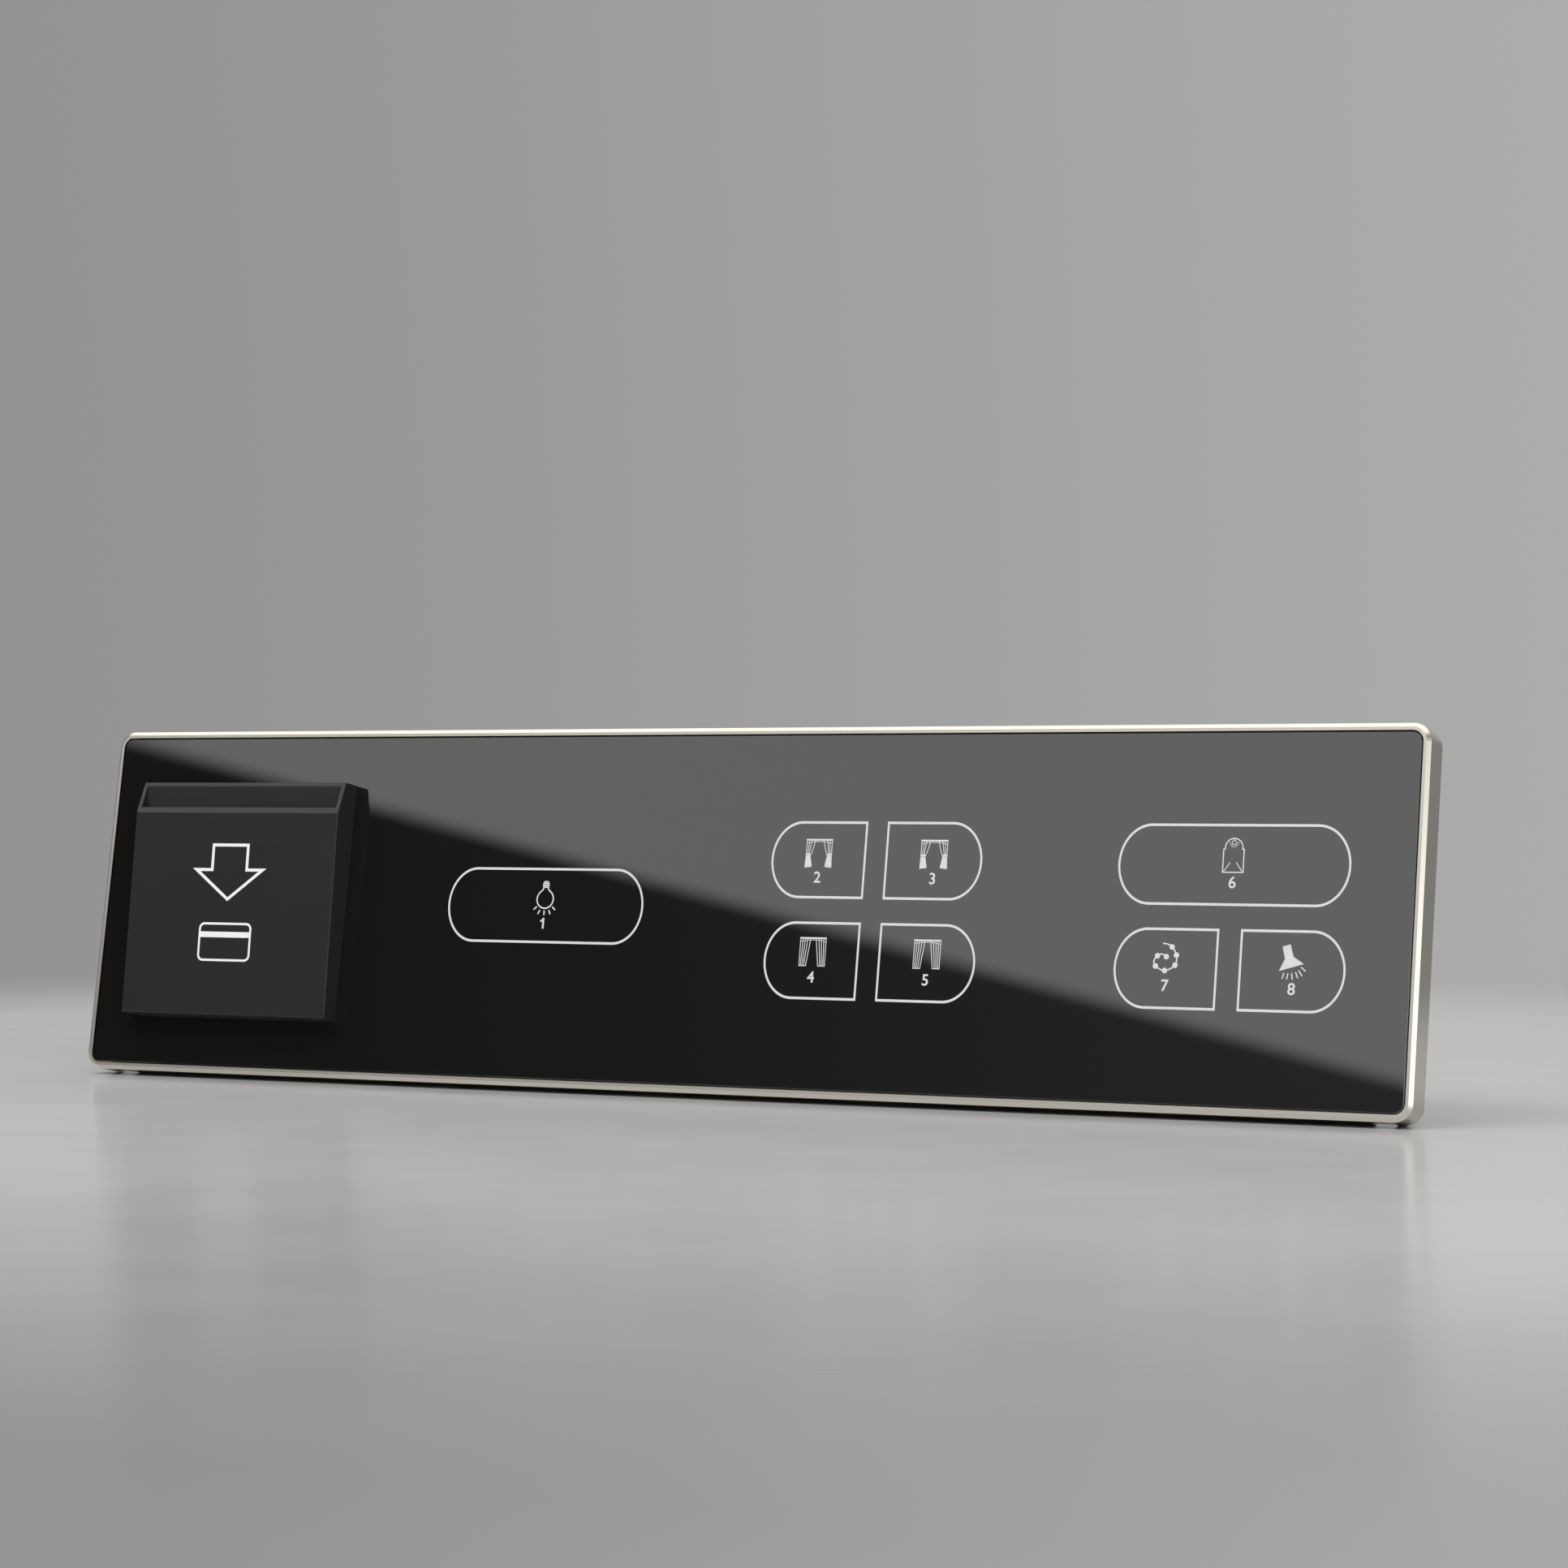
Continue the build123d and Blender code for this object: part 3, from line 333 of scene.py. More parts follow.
def ray(middle_z, angle, near, far):
    """A line that leaves a middle on the icon's upright axis at an angle in degrees, from near to far."""
    a = math.radians(angle)
    return [(reach * math.cos(a), middle_z + reach * math.sin(a)) for reach in (near, far)]


def rectangle(x, z, far_x, far_z):
    """Corners of an upright rectangle, by one corner and the one across from it."""
    return [(x, z), (far_x, z), (far_x, far_z), (x, far_z)]


def smooth(points, steps=6):
    """A smooth line through points."""
    ends = [points[0], *points, points[-1]]
    line = []
    for i in range(1, len(ends) - 2):
        a, b, c, d = (Vector(ends[k]) for k in range(i - 1, i + 3))
        for k in range(steps):
            t = k / steps
            line.append((2 * b + (c - a) * t + (2 * a - 5 * b + 4 * c - d) * t**2
                         + (3 * b - a - 3 * c + d) * t**3) / 2)
    return [(q.x, q.y) for q in line] + [points[-1]]


def shifted(points, x, z, mirror=1):
    """Points moved to a place, and mirrored left to right where mirror is -1."""
    return [(x + mirror * px, z + pz) for px, pz in points]


def link(tree, source, target):
    """Joins two sockets."""
    tree.links.new(source, target)


def feed(tree, value, target):
    """Gives a socket a plain number, or joins it to another socket."""
    if isinstance(value, (int, float)):
        target.default_value = value
    else:
        link(tree, value, target)


def math_node(tree, operation, first, second=0):
    """One sum in a node tree, of sockets or plain numbers."""
    node = tree.nodes.new("ShaderNodeMath")
    node.operation = operation
    feed(tree, first, node.inputs[0])
    feed(tree, second, node.inputs[1])
    return node.outputs["Value"]


def vector(tree, x=0, y=0, z=0):
    """A vector made of sockets or plain numbers."""
    node = tree.nodes.new("ShaderNodeCombineXYZ")
    for socket, value in zip(node.inputs, (x, y, z)):
        feed(tree, value, socket)
    return node.outputs["Vector"]


def fitted(tree, value, before, after, way="LINEAR"):
    """A number brought from one range to another and held within it."""
    fit = tree.nodes.new("ShaderNodeMapRange")
    fit.interpolation_type = way
    for side, (low, high) in (("From", before), ("To", after)):
        fit.inputs[side + " Min"].default_value = low
        fit.inputs[side + " Max"].default_value = high
    link(tree, value, fit.inputs["Value"])
    return fit.outputs["Result"]


def mixed(tree, factor, first, second):
    """Two greys mixed by a factor."""
    mix = tree.nodes.new("ShaderNodeMix")
    link(tree, factor, mix.inputs["Factor"])
    feed(tree, first, mix.inputs["A"])
    feed(tree, second, mix.inputs["B"])
    return mix.outputs["Result"]


def coordinates(tree, kind="Object"):
    """The object's own coordinates, or another kind that a surface has."""
    return tree.nodes.new("ShaderNodeTexCoord").outputs[kind]


def axes_of(tree, kind="Object"):
    """X, Y and Z of the coordinates, as sockets."""
    axes = tree.nodes.new("ShaderNodeSeparateXYZ")
    link(tree, coordinates(tree, kind), axes.inputs["Vector"])
    return axes.outputs["X"], axes.outputs["Y"], axes.outputs["Z"]


def new_material(name, base, roughness, metallic=0.0):
    """A material with its plain values on the shader, and its node tree for the detail."""
    material = bpy.data.materials.new(name)
    material.use_nodes = True
    shader = material.node_tree.nodes["Principled BSDF"]
    shader.inputs["Base Color"].default_value = (*base, 1)
    shader.inputs["Roughness"].default_value = roughness
    shader.inputs["Metallic"].default_value = metallic
    return material, material.node_tree, shader


def object_pattern(tree, scale, detail=3.0, stretch=(1, 1, 1)):
    """Noise in the object's own coordinates. Its scale is in features per metre."""
    mapping = tree.nodes.new("ShaderNodeMapping")
    mapping.inputs["Scale"].default_value = stretch
    noise = tree.nodes.new("ShaderNodeTexNoise")
    noise.inputs["Scale"].default_value = scale
    noise.inputs["Detail"].default_value = detail
    link(tree, coordinates(tree), mapping.inputs["Vector"])
    link(tree, mapping.outputs["Vector"], noise.inputs["Vector"])
    return noise.outputs["Fac"]


def tint(tree, factor, dark, light, shader):
    """Colours a shader between two shades, by a pattern."""
    ramp = tree.nodes.new("ShaderNodeValToRGB")
    ends = ((PATTERN_LOW, dark), (PATTERN_HIGH, light))
    for element, (place, colour) in zip(ramp.color_ramp.elements, ends):
        element.position = place
        element.color = (*colour, 1)
    link(tree, factor, ramp.inputs["Fac"])
    link(tree, ramp.outputs["Color"], shader.inputs["Base Color"])


def uneven_shade(tree, pattern, shader, dark, light):
    """Lets a shader's colour stray between two shares of its plain value, by a pattern."""
    plain = shader.inputs["Base Color"].default_value[:3]
    tint(tree, pattern, [dark * c for c in plain], [min(light * c, 1) for c in plain], shader)


def uneven_gloss(tree, pattern, shader, stray):
    """Lets a shader's roughness stray to both sides of its plain value, by a pattern."""
    plain = shader.inputs["Roughness"].default_value
    roughness = fitted(tree, pattern, (PATTERN_LOW, PATTERN_HIGH), (plain - stray, plain + stray))
    link(tree, roughness, shader.inputs["Roughness"])


def bump(tree, shader, height, strength, distance):
    """Fine relief from a pattern. The distance is in millimetres."""
    node = tree.nodes.new("ShaderNodeBump")
    node.inputs["Strength"].default_value = strength
    node.inputs["Distance"].default_value = distance * MM
    link(tree, height, node.inputs["Height"])
    link(tree, node.outputs["Normal"], shader.inputs["Normal"])


def black_glass():
    """Back-painted black glass with a polished front and the faintest haze."""
    material, tree, shader = new_material("black_glass", (0.006, 0.006, 0.0065), 0.012)
    shader.inputs["IOR"].default_value = 1.6
    shader.inputs["Specular IOR Level"].default_value = 1.0
    uneven_gloss(tree, object_pattern(tree, scale=35), shader, stray=0.004)
    return material


def champagne_trim():
    """Pale champagne metal: smooth chamfer and sides, and a satin front lip."""
    material, tree, shader = new_material("champagne_trim", TRIM_COLOUR, TRIM_ROUGHNESS, 1.0)
    grain = object_pattern(tree, scale=3500, detail=2)
    _, y, _ = axes_of(tree, "Normal")
    on_lip = math_node(tree, "LESS_THAN", y, LIP_FACING)
    satin = math_node(tree, "MULTIPLY", on_lip, LIP_ROUGHNESS - TRIM_ROUGHNESS)
    fine = math_node(tree, "MULTIPLY", grain, GRAIN_ROUGHNESS)
    both = math_node(tree, "ADD", satin, fine)
    roughness = math_node(tree, "ADD", both, TRIM_ROUGHNESS - GRAIN_ROUGHNESS / 2)
    link(tree, roughness, shader.inputs["Roughness"])
    tint(tree, object_pattern(tree, scale=40), TRIM_SHADE, TRIM_COLOUR, shader)
    bump(tree, shader, grain, strength=0.03, distance=0.003)
    return material


def moulded_plastic(name, base, roughness, relief=0.25):
    """Moulded plastic with a spark-eroded grain and a slight change of shade."""
    material, tree, shader = new_material(name, base, roughness)
    bump(tree, shader, object_pattern(tree, scale=2500, detail=2), relief, distance=0.012)
    patches = object_pattern(tree, scale=90)
    uneven_shade(tree, patches, shader, dark=0.98, light=1.02)
    uneven_gloss(tree, patches, shader, stray=0.01)
    return material


def holder_plastic():
    """Smooth satin black plastic of the card holder."""
    return moulded_plastic("holder_plastic", (0.0185, 0.0185, 0.0186), 0.28, relief=0.05)


def white_ink(name, shade):
    """Screen-printed white ink, a little uneven."""
    material, tree, shader = new_material(name, (shade, shade, shade), 0.5)
    uneven_shade(tree, object_pattern(tree, scale=700), shader, dark=0.96, light=1.04)
    return material


def sheet_steel(name, base, roughness):
    """Zinc-plated steel with soft spangles and rolling lines."""
    material, tree, shader = new_material(name, base, roughness, 1.0)
    spangles = tree.nodes.new("ShaderNodeTexVoronoi")
    spangles.inputs["Scale"].default_value = 260
    link(tree, coordinates(tree), spangles.inputs["Vector"])
    uneven_shade(tree, spangles.outputs["Distance"], shader, dark=0.9, light=1.0)
    lines = object_pattern(tree, scale=700, stretch=(0.05, 1, 1))
    uneven_gloss(tree, lines, shader, stray=0.07)
    return material


def circuit_board():
    """Green solder resist over faint copper tracks."""
    material, tree, shader = new_material("circuit_board", BOARD_GREEN, 0.35)
    tracks = tree.nodes.new("ShaderNodeTexBrick")
    tracks.inputs["Scale"].default_value = 320
    tracks.inputs["Mortar Size"].default_value = 0.012
    tracks.inputs["Color1"].default_value = (*BOARD_GREEN, 1)
    tracks.inputs["Color2"].default_value = (0.016, 0.12, 0.055, 1)
    tracks.inputs["Mortar"].default_value = (0.03, 0.17, 0.07, 1)
    mapping = tree.nodes.new("ShaderNodeMapping")
    mapping.inputs["Rotation"].default_value = (QUARTER, 0, 0)
    link(tree, coordinates(tree), mapping.inputs["Vector"])
    link(tree, mapping.outputs["Vector"], tracks.inputs["Vector"])
    link(tree, tracks.outputs["Color"], shader.inputs["Base Color"])
    return material


def clear_silicone():
    """Milky diffuser over each key light."""
    material, tree, shader = new_material("clear_silicone", (0.82, 0.84, 0.84), 0.425)
    shader.inputs["Subsurface Weight"].default_value = 0.3
    shader.inputs["Subsurface Scale"].default_value = 2 * MM
    uneven_gloss(tree, object_pattern(tree, scale=300), shader, stray=0.075)
    return material


def copper_winding():
    """Square copper turns of the antenna coil, with solder resist between them."""
    material, tree, shader = new_material("copper_winding", COPPER, 0.3)
    x, _, z = axes_of(tree)
    across = math_node(tree, "ABSOLUTE", math_node(tree, "SUBTRACT", x, GANG_X["card"] * MM))
    out = math_node(tree, "MAXIMUM", across, math_node(tree, "ABSOLUTE", z))
    turn = math_node(tree, "FRACT", math_node(tree, "DIVIDE", out, COIL_TURN_PITCH * MM))
    copper = math_node(tree, "LESS_THAN", turn, COPPER_SHARE)
    tint(tree, copper, BOARD_GREEN, COPPER, shader)
    link(tree, copper, shader.inputs["Metallic"])
    return material


def pin_header():
    """Black header housing with gold-plated pins."""
    material, tree, shader = new_material("pin_header", HOUSING_BLACK, HOUSING_ROUGHNESS)
    _, y, _ = axes_of(tree)
    pin = math_node(tree, "GREATER_THAN", y, PIN_START_Y * MM)
    tint(tree, pin, HOUSING_BLACK, PIN_GOLD, shader)
    roughness = fitted(tree, pin, (0, 1), (HOUSING_ROUGHNESS, PIN_ROUGHNESS))
    link(tree, roughness, shader.inputs["Roughness"])
    link(tree, pin, shader.inputs["Metallic"])
    return material


def dress_cad_nodes(frame):
    """Gives every CAD node its procedural material by the record's slot."""
    finishes = {
        "black_glass": black_glass(),
        "champagne_trim": champagne_trim(),
        "holder_plastic": holder_plastic(),
        "board": circuit_board(),
        "diffuser": clear_silicone(),
        "copper": copper_winding(),
    }
    finishes |= {name: moulded_plastic(name, *look) for name, look in PLASTICS.items()}
    finishes |= {name: sheet_steel(name, *look) for name, look in STEELS.items()}
    header = pin_header()
    for part in frame["record"]["subparts"]:
        node = frame["nodes"][part["node"]]
        finish = header if part["node"].endswith("_header") else finishes[part["material_slot"]]
        node.data.materials.clear()
        node.data.materials.append(finish)
    return finishes


def node_tree(name, numbers):
    """A geometry node tree with named number inputs, a turn and a material."""
    tree = bpy.data.node_groups.new(name, "GeometryNodeTree")
    tree.interface.new_socket("Geometry", in_out="OUTPUT", socket_type="NodeSocketGeometry")
    tree.interface.new_socket("Geometry", in_out="INPUT", socket_type="NodeSocketGeometry")
    for number in numbers:
        tree.interface.new_socket(number, in_out="INPUT", socket_type="NodeSocketFloat")
    tree.interface.new_socket("Turn", in_out="INPUT", socket_type="NodeSocketVector")
    tree.interface.new_socket("Material", in_out="INPUT", socket_type="NodeSocketMaterial")
    return tree, tree.nodes.new("NodeGroupInput"), tree.nodes.new("NodeGroupOutput")


def moved(tree, geometry, offset=None, turn=(0, 0, 0)):
    """Geometry moved by a vector socket and turned by plain angles."""
    node = tree.nodes.new("GeometryNodeTransform")
    node.inputs["Rotation"].default_value = turn
    link(tree, geometry, node.inputs["Geometry"])
    if offset is not None:
        link(tree, offset, node.inputs["Translation"])
    return node.outputs["Geometry"]


def round_bar(tree, low_radius, high_radius, depth, base):
    """A closed cone or cylinder that stands on a height."""
    node = tree.nodes.new("GeometryNodeMeshCone")
    node.inputs["Vertices"].default_value = SCREW_SIDES
    for socket, value in (("Radius Bottom", low_radius), ("Radius Top", high_radius), ("Depth", depth)):
        link(tree, value, node.inputs[socket])
    return moved(tree, node.outputs["Mesh"], vector(tree, z=base))


def block(tree, length, width, depth):
    """A box about the origin."""
    node = tree.nodes.new("GeometryNodeMeshCube")
    link(tree, vector(tree, length, width, depth), node.inputs["Size"])
    return node.outputs["Mesh"]


def on_points(tree, points, shape):
    """The node that puts a shape on every point."""
    node = tree.nodes.new("GeometryNodeInstanceOnPoints")
    link(tree, points, node.inputs["Points"])
    link(tree, shape, node.inputs["Instance"])
    return node


def spun(tree, instances):
    """Instances turned about their own axes, each by a random angle."""
    angle = tree.nodes.new("FunctionNodeRandomValue")
    angle.data_type = "FLOAT"
    lowest, highest = angle.inputs[2:4]
    lowest.default_value = 0
    highest.default_value = math.pi
    angle.inputs["Seed"].default_value = SCREW_SEED
    turn = tree.nodes.new("GeometryNodeRotateInstances")
    link(tree, instances, turn.inputs["Instances"])
    link(tree, vector(tree, z=angle.outputs[1]), turn.inputs["Rotation"])
    return turn.outputs["Instances"]


def finish_tree(tree, given, output, shape, spin):
    """Puts a shape on every given point, turned and perhaps spun about its axis, as one plain mesh."""
    place = on_points(tree, given.outputs["Geometry"], shape)
    link(tree, given.outputs["Turn"], place.inputs["Rotation"])
    placed = place.outputs["Instances"]
    if spin:
        placed = spun(tree, placed)
    realize = tree.nodes.new("GeometryNodeRealizeInstances")
    paint = tree.nodes.new("GeometryNodeSetMaterial")
    link(tree, placed, realize.inputs["Geometry"])
    link(tree, realize.outputs["Geometry"], paint.inputs["Geometry"])
    link(tree, given.outputs["Material"], paint.inputs["Material"])
    link(tree, paint.outputs["Geometry"], output.inputs["Geometry"])


def screw_tree(cuts):
    """Screw that stands on its seat with its head up, with a slot or a cross cut into it."""
    numbers = ["Head Radius", "Bevel Radius", "Head Height", "Bevel", "Shank Radius", "Shank Length",
               "Shank Base", "Cut Length", "Cut Width", "Cut Depth"]
    tree, given, output = node_tree("screw", numbers)
    size = given.outputs
    head = round_bar(tree, size["Head Radius"], size["Head Radius"], size["Head Height"], 0)
    bevel = round_bar(tree, size["Head Radius"], size["Bevel Radius"], size["Bevel"], size["Head Height"])
    shank_radius = size["Shank Radius"]
    shank = round_bar(tree, shank_radius, shank_radius, size["Shank Length"], size["Shank Base"])
    body = tree.nodes.new("GeometryNodeMeshBoolean")
    body.operation = "UNION"
    for solid in (head, bevel, shank):
        link(tree, solid, body.inputs["Mesh 2"])
    carve = tree.nodes.new("GeometryNodeMeshBoolean")
    carve.operation = "DIFFERENCE"
    link(tree, body.outputs["Mesh"], carve.inputs["Mesh 1"])
    blade = block(tree, size["Cut Length"], size["Cut Width"], size["Cut Depth"])
    top = math_node(tree, "ADD", size["Head Height"], size["Bevel"])
    for i in range(cuts):
        cut = moved(tree, blade, vector(tree, z=top), (0, 0, i * QUARTER))
        link(tree, cut, carve.inputs["Mesh 2"])
    finish_tree(tree, given, output, carve.outputs["Mesh"], spin=True)
    return tree


def chip_leg_tree():
    """Four rows of legs round a chip that lies on its board."""
    tree, given, output = node_tree("chip_legs", ["Pitch", "Out", "Width", "Length", "Thickness"])
    size = given.outputs
    row = tree.nodes.new("GeometryNodeMeshLine")
    row.inputs["Count"].default_value = LEG_COUNT
    start = math_node(tree, "MULTIPLY", size["Pitch"], -(LEG_COUNT - 1) / 2)
    link(tree, vector(tree, start, size["Out"]), row.inputs["Start Location"])
    link(tree, vector(tree, size["Pitch"]), row.inputs["Offset"])
    leg = block(tree, size["Width"], size["Length"], size["Thickness"])
    legs = on_points(tree, row.outputs["Mesh"], leg)
    all_sides = tree.nodes.new("GeometryNodeJoinGeometry")
    for i in range(4):
        side = moved(tree, legs.outputs["Instances"], turn=(0, 0, i * QUARTER))
        link(tree, side, all_sides.inputs["Geometry"])
    finish_tree(tree, given, output, all_sides.outputs["Geometry"], spin=False)
    return tree


def grown(name, tree, places, numbers, turn, material, body):
    """A piece grown by a node tree from points, made a plain mesh. It is given in millimetres."""
    seed_mesh = bpy.data.meshes.new(name)
    seed_mesh.from_pydata([Vector(place) * MM for place in places], [], [])
    seed = new_object(name + "_points", seed_mesh)
    modifier = seed.modifiers.new("grow", "NODES")
    modifier.node_group = tree
    keys = {item.name: item.identifier for item in tree.interface.items_tree if item.in_out == "INPUT"}
    for number, value in numbers.items():
        modifier[keys[number]] = value * MM
    modifier[keys["Turn"]] = turn
    modifier[keys["Material"]] = material
    return new_piece(name, plain_mesh(seed), body)


def screw_sizes(head, height, shank, length, cut_length, cut_width, cut_depth):
    """A screw's sizes by the names of the tree's inputs."""
    return {"Head Radius": head / 2, "Bevel Radius": head / 2 - SCREW_BEVEL,
            "Head Height": height - SCREW_BEVEL, "Bevel": SCREW_BEVEL,
            "Shank Radius": shank / 2, "Shank Length": length, "Shank Base": -length,
            "Cut Length": cut_length, "Cut Width": cut_width, "Cut Depth": 2 * cut_depth}


def add_screws(steel):
    """Slotted terminal screws, and cross-head screws of the modules and of the card holder."""
    slotted, crossed = screw_tree(cuts=1), screw_tree(cuts=2)
    terminals = [(GANG_X[gang] + (i - (count - 1) / 2) * TERMINAL_PITCH, TERMINAL_SEAT_Y, TERMINAL_Z)
                 for gang, count in TERMINALS.items() for i in range(count)]
    sizes = screw_sizes(head=3.8, height=2.0, shank=2.3, length=3.0,
                        cut_length=5.0, cut_width=0.7, cut_depth=0.9)
    piece = grown("slotted_terminal_screws", slotted, terminals, sizes, TOWARDS_WALL, steel,
                  "wall_base")
    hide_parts("terminal_screws")
    modules = [(x + side * MODULE_SCREW_X, MODULE_SEAT_Y, -side * MODULE_SCREW_Z)
               for x in GANG_X.values() for side in (-1, 1)]
    sizes = screw_sizes(head=3.6, height=0.9, shank=1.9, length=2.2,
                        cut_length=2.2, cut_width=0.5, cut_depth=0.5)
    piece = grown("cross_head_module_screws", crossed, modules, sizes, TOWARDS_ROOM, steel,
                  "wall_base")
    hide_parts("module_screws")
    posts = [(GANG_X["card"] + sx * POST_X, POST_SEAT_Y, sz * POST_Z) for sx in (-1, 1) for sz in (-1, 1)]
    sizes = screw_sizes(head=4.0, height=1.2, shank=2.1, length=7.0,
                        cut_length=2.4, cut_width=0.55, cut_depth=0.7)
    piece = grown("cross_head_holder_screws", crossed, posts, sizes, TOWARDS_WALL, steel,
                  "front_panel")
    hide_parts("card_holder_screws")


def add_chip_legs(steel):
    """Legs of the control chips, down on the backs of the boards."""
    places = [(x, CHIP_BOARD_Y + LEG_THICKNESS / 2, CHIP_Z) for x in GANG_X.values()]
    sizes = {"Pitch": LEG_PITCH, "Out": CHIP_SIDE / 2 + LEG_REACH,
             "Width": LEG_WIDTH, "Length": LEG_LENGTH, "Thickness": LEG_THICKNESS}
    grown("chip_legs", chip_leg_tree(), places, sizes, TOWARDS_WALL, steel, "front_panel")


def key_end(half_width, half_height, side):
    """Centreline of a key's round end, from its foot to its top."""
    end = arc(half_width - half_height, 0, half_height, -90, 90, KEY_STEPS)
    return [(side * px, pz) for px, pz in end]


def whole_key():
    """Centreline of a key's outline with two round ends."""
    half_width = (KEY_WIDTH / KEY_SQUEEZE - OUTLINE_WIDTH) / 2
    half_height = (KEY_HEIGHT - OUTLINE_WIDTH) / 2
    return key_end(half_width, half_height, 1) + key_end(half_width, half_height, -1)[::-1]


def half_key(side):
    """Centreline of a half key: round outside and square towards the middle."""
    half_width = (HALF_KEY_WIDTH / KEY_SQUEEZE - OUTLINE_WIDTH) / 2
    half_height = (HALF_KEY_HEIGHT - OUTLINE_WIDTH) / 2
    inner = -side * half_width
    return key_end(half_width, half_height, side) + [(inner, half_height), (inner, -half_height)]


def key_outlines(ink):
    """Outlines of the eight touch keys."""
    bm = bmesh.new()
    keys = [(whole_key(), x, z) for x, z in WHOLE_KEYS]
    keys += [(half_key(side), x + side * HALF_KEY_X, z) for x, z in HALF_KEY_PAIRS for side in (-1, 1)]
    for line, x, z in keys:
        add_band(bm, shifted(line, x / KEY_SQUEEZE, z), OUTLINE_WIDTH, on_squeezed_glass, closed=True)
    printed_piece("key_outlines", bm, ink)


def bulb_icon(bm, x, z):
    """Hanging bulb with its cap above and five rays below."""
    ring_half_height = 0.17
    for ring_z, half in ((5.72, 0.62), (5.3, 0.88), (4.85, 0.9), (4.4, 0.84)):
        ring = rectangle(-half, ring_z - ring_half_height, half, ring_z + ring_half_height)
        add_patch(bm, shifted(ring, x, z), on_glass)
    middle_z, radius, ray_length = 1.55, 2.22, 1.1
    neck = smooth([(0.62, 4.15), (0.85, 3.75), (1.35, 3.3)], 4)
    bulb = [(-px, pz) for px, pz in neck] + arc(0, middle_z, radius, 128, 412, 32) + neck[::-1]
    add_band(bm, shifted(bulb, x, z), ICON_LINE, on_glass)
    for angle, near in ((-139, 2.8), (-115, 2.9), (-90, 2.75), (-65, 2.9), (-41, 2.8)):
        add_band(bm, shifted(ray(middle_z, angle, near, near + ray_length), x, z), ICON_LINE, on_glass)


def curtain_rail(bm, x, z):
    """Rail that a pair of curtains hangs from, with a shallow arch of cloth below it."""
    add_patch(bm, shifted(rectangle(-3.35, 2.93, 3.35, 3.33), x, z), on_glass)
    arch = smooth([(-3.3, 2.25), (-1.9, 2.6), (0, 2.72), (1.9, 2.6), (3.3, 2.25)], 4)
    add_band(bm, shifted(arch, x, z), CLOTH_ARCH_LINE, on_glass, coat=SECOND_COAT)


def tied_curtains(bm, x, z):
    """Pair of curtains drawn back and tied, with their lower parts solid."""
    curtain_rail(bm, x, z)
    for side in (-1, 1):
        for top, belly, tie in ((3.22, 3.22, 3.22), (2.6, 2.75, 2.9), (2.0, 2.3, 2.6), (1.05, 1.55, 2.15)):
            fold = smooth([(top, 2.95), (belly, 1.1), (tie, -0.45)], 5)
            add_band(bm, shifted(fold, x, z, side), FOLD_LINE, on_glass)
        waist = rectangle(3.35, -0.1, 2.0, -0.55)
        add_patch(bm, shifted(waist, x, z, side), on_glass)
        skirt = [(3.3, -0.62), (2.1, -0.62), (1.62, -3.1), (2.2, -3.25), (3.42, -3.35)]
        add_patch(bm, shifted(skirt, x, z, side), on_glass)


def loose_curtains(bm, x, z):
    """Pair of plain pleated curtains, open in the middle."""
    curtain_rail(bm, x, z)
    for side in (-1, 1):
        for top, foot in ((3.24, 3.24), (2.66, 2.86), (2.05, 2.45), (1.42, 2.05), (0.72, 1.55)):
            add_band(bm, shifted([(top, 2.9), (foot, -3.25)], x, z, side), FOLD_LINE, on_glass)
        hem = shifted([(1.44, -3.27), (3.35, -3.27)], x, z, side)
        add_band(bm, hem, FOLD_LINE, on_glass, coat=SECOND_COAT)


def porch_icon(bm, x, z):
    """Porch arch with a lamp at its top and light on its floor."""
    lamp_z = 2.8
    post = [(2.0, 1.35), (2.35, 1.35), (2.35, -3.75)]
    arch = [(-px, pz) for px, pz in post[::-1]] + arc(0, 1.75, 2.0, 180, 0, 24) + post
    add_band(bm, shifted(arch, x, z), PORCH_ARCH_LINE, on_glass, closed=True)
    lamp = [(0, 3.52)] + arc(0, lamp_z, 0.46, 30, -210, 16)
    add_band(bm, shifted(lamp, x, z), PORCH_LAMP_LINE, on_glass, closed=True)
    for angle in range(-180, 1, 30):
        add_band(bm, shifted(ray(lamp_z, angle, 0.7, 1.15), x, z), PORCH_RAY_LINE, on_glass)
    for side in (-1, 1):
        add_band(bm, shifted([(2.15, -3.6), (0.68, -1.55)], x, z, side), PORCH_BEAM_LINE, on_glass)


def strip_icon(bm, x, z):
    """Curled string of lamps."""
    lamps = [(1.28, 2.44), (2.39, 0.67), (2.17, -1.56), (-0.17, -2.78), (-2.33, -1.83),
             (-2.0, 0.44), (0.06, 0.28)]
    start = [(-0.89, 3.2), (0.15, 3.08)]
    left_bend = [(-2.75, -0.6)]
    inner_bend = [(-1.0, 0.85)]
    string = smooth(start + lamps[:5] + left_bend + lamps[5:6] + inner_bend + lamps[6:])
    add_band(bm, shifted(string, x, z), STRING_LINE, on_glass)
    for lamp_x, lamp_z in lamps:
        add_patch(bm, shifted(arc(lamp_x, lamp_z, 0.62, 0, 345, 23), x, z), on_glass)


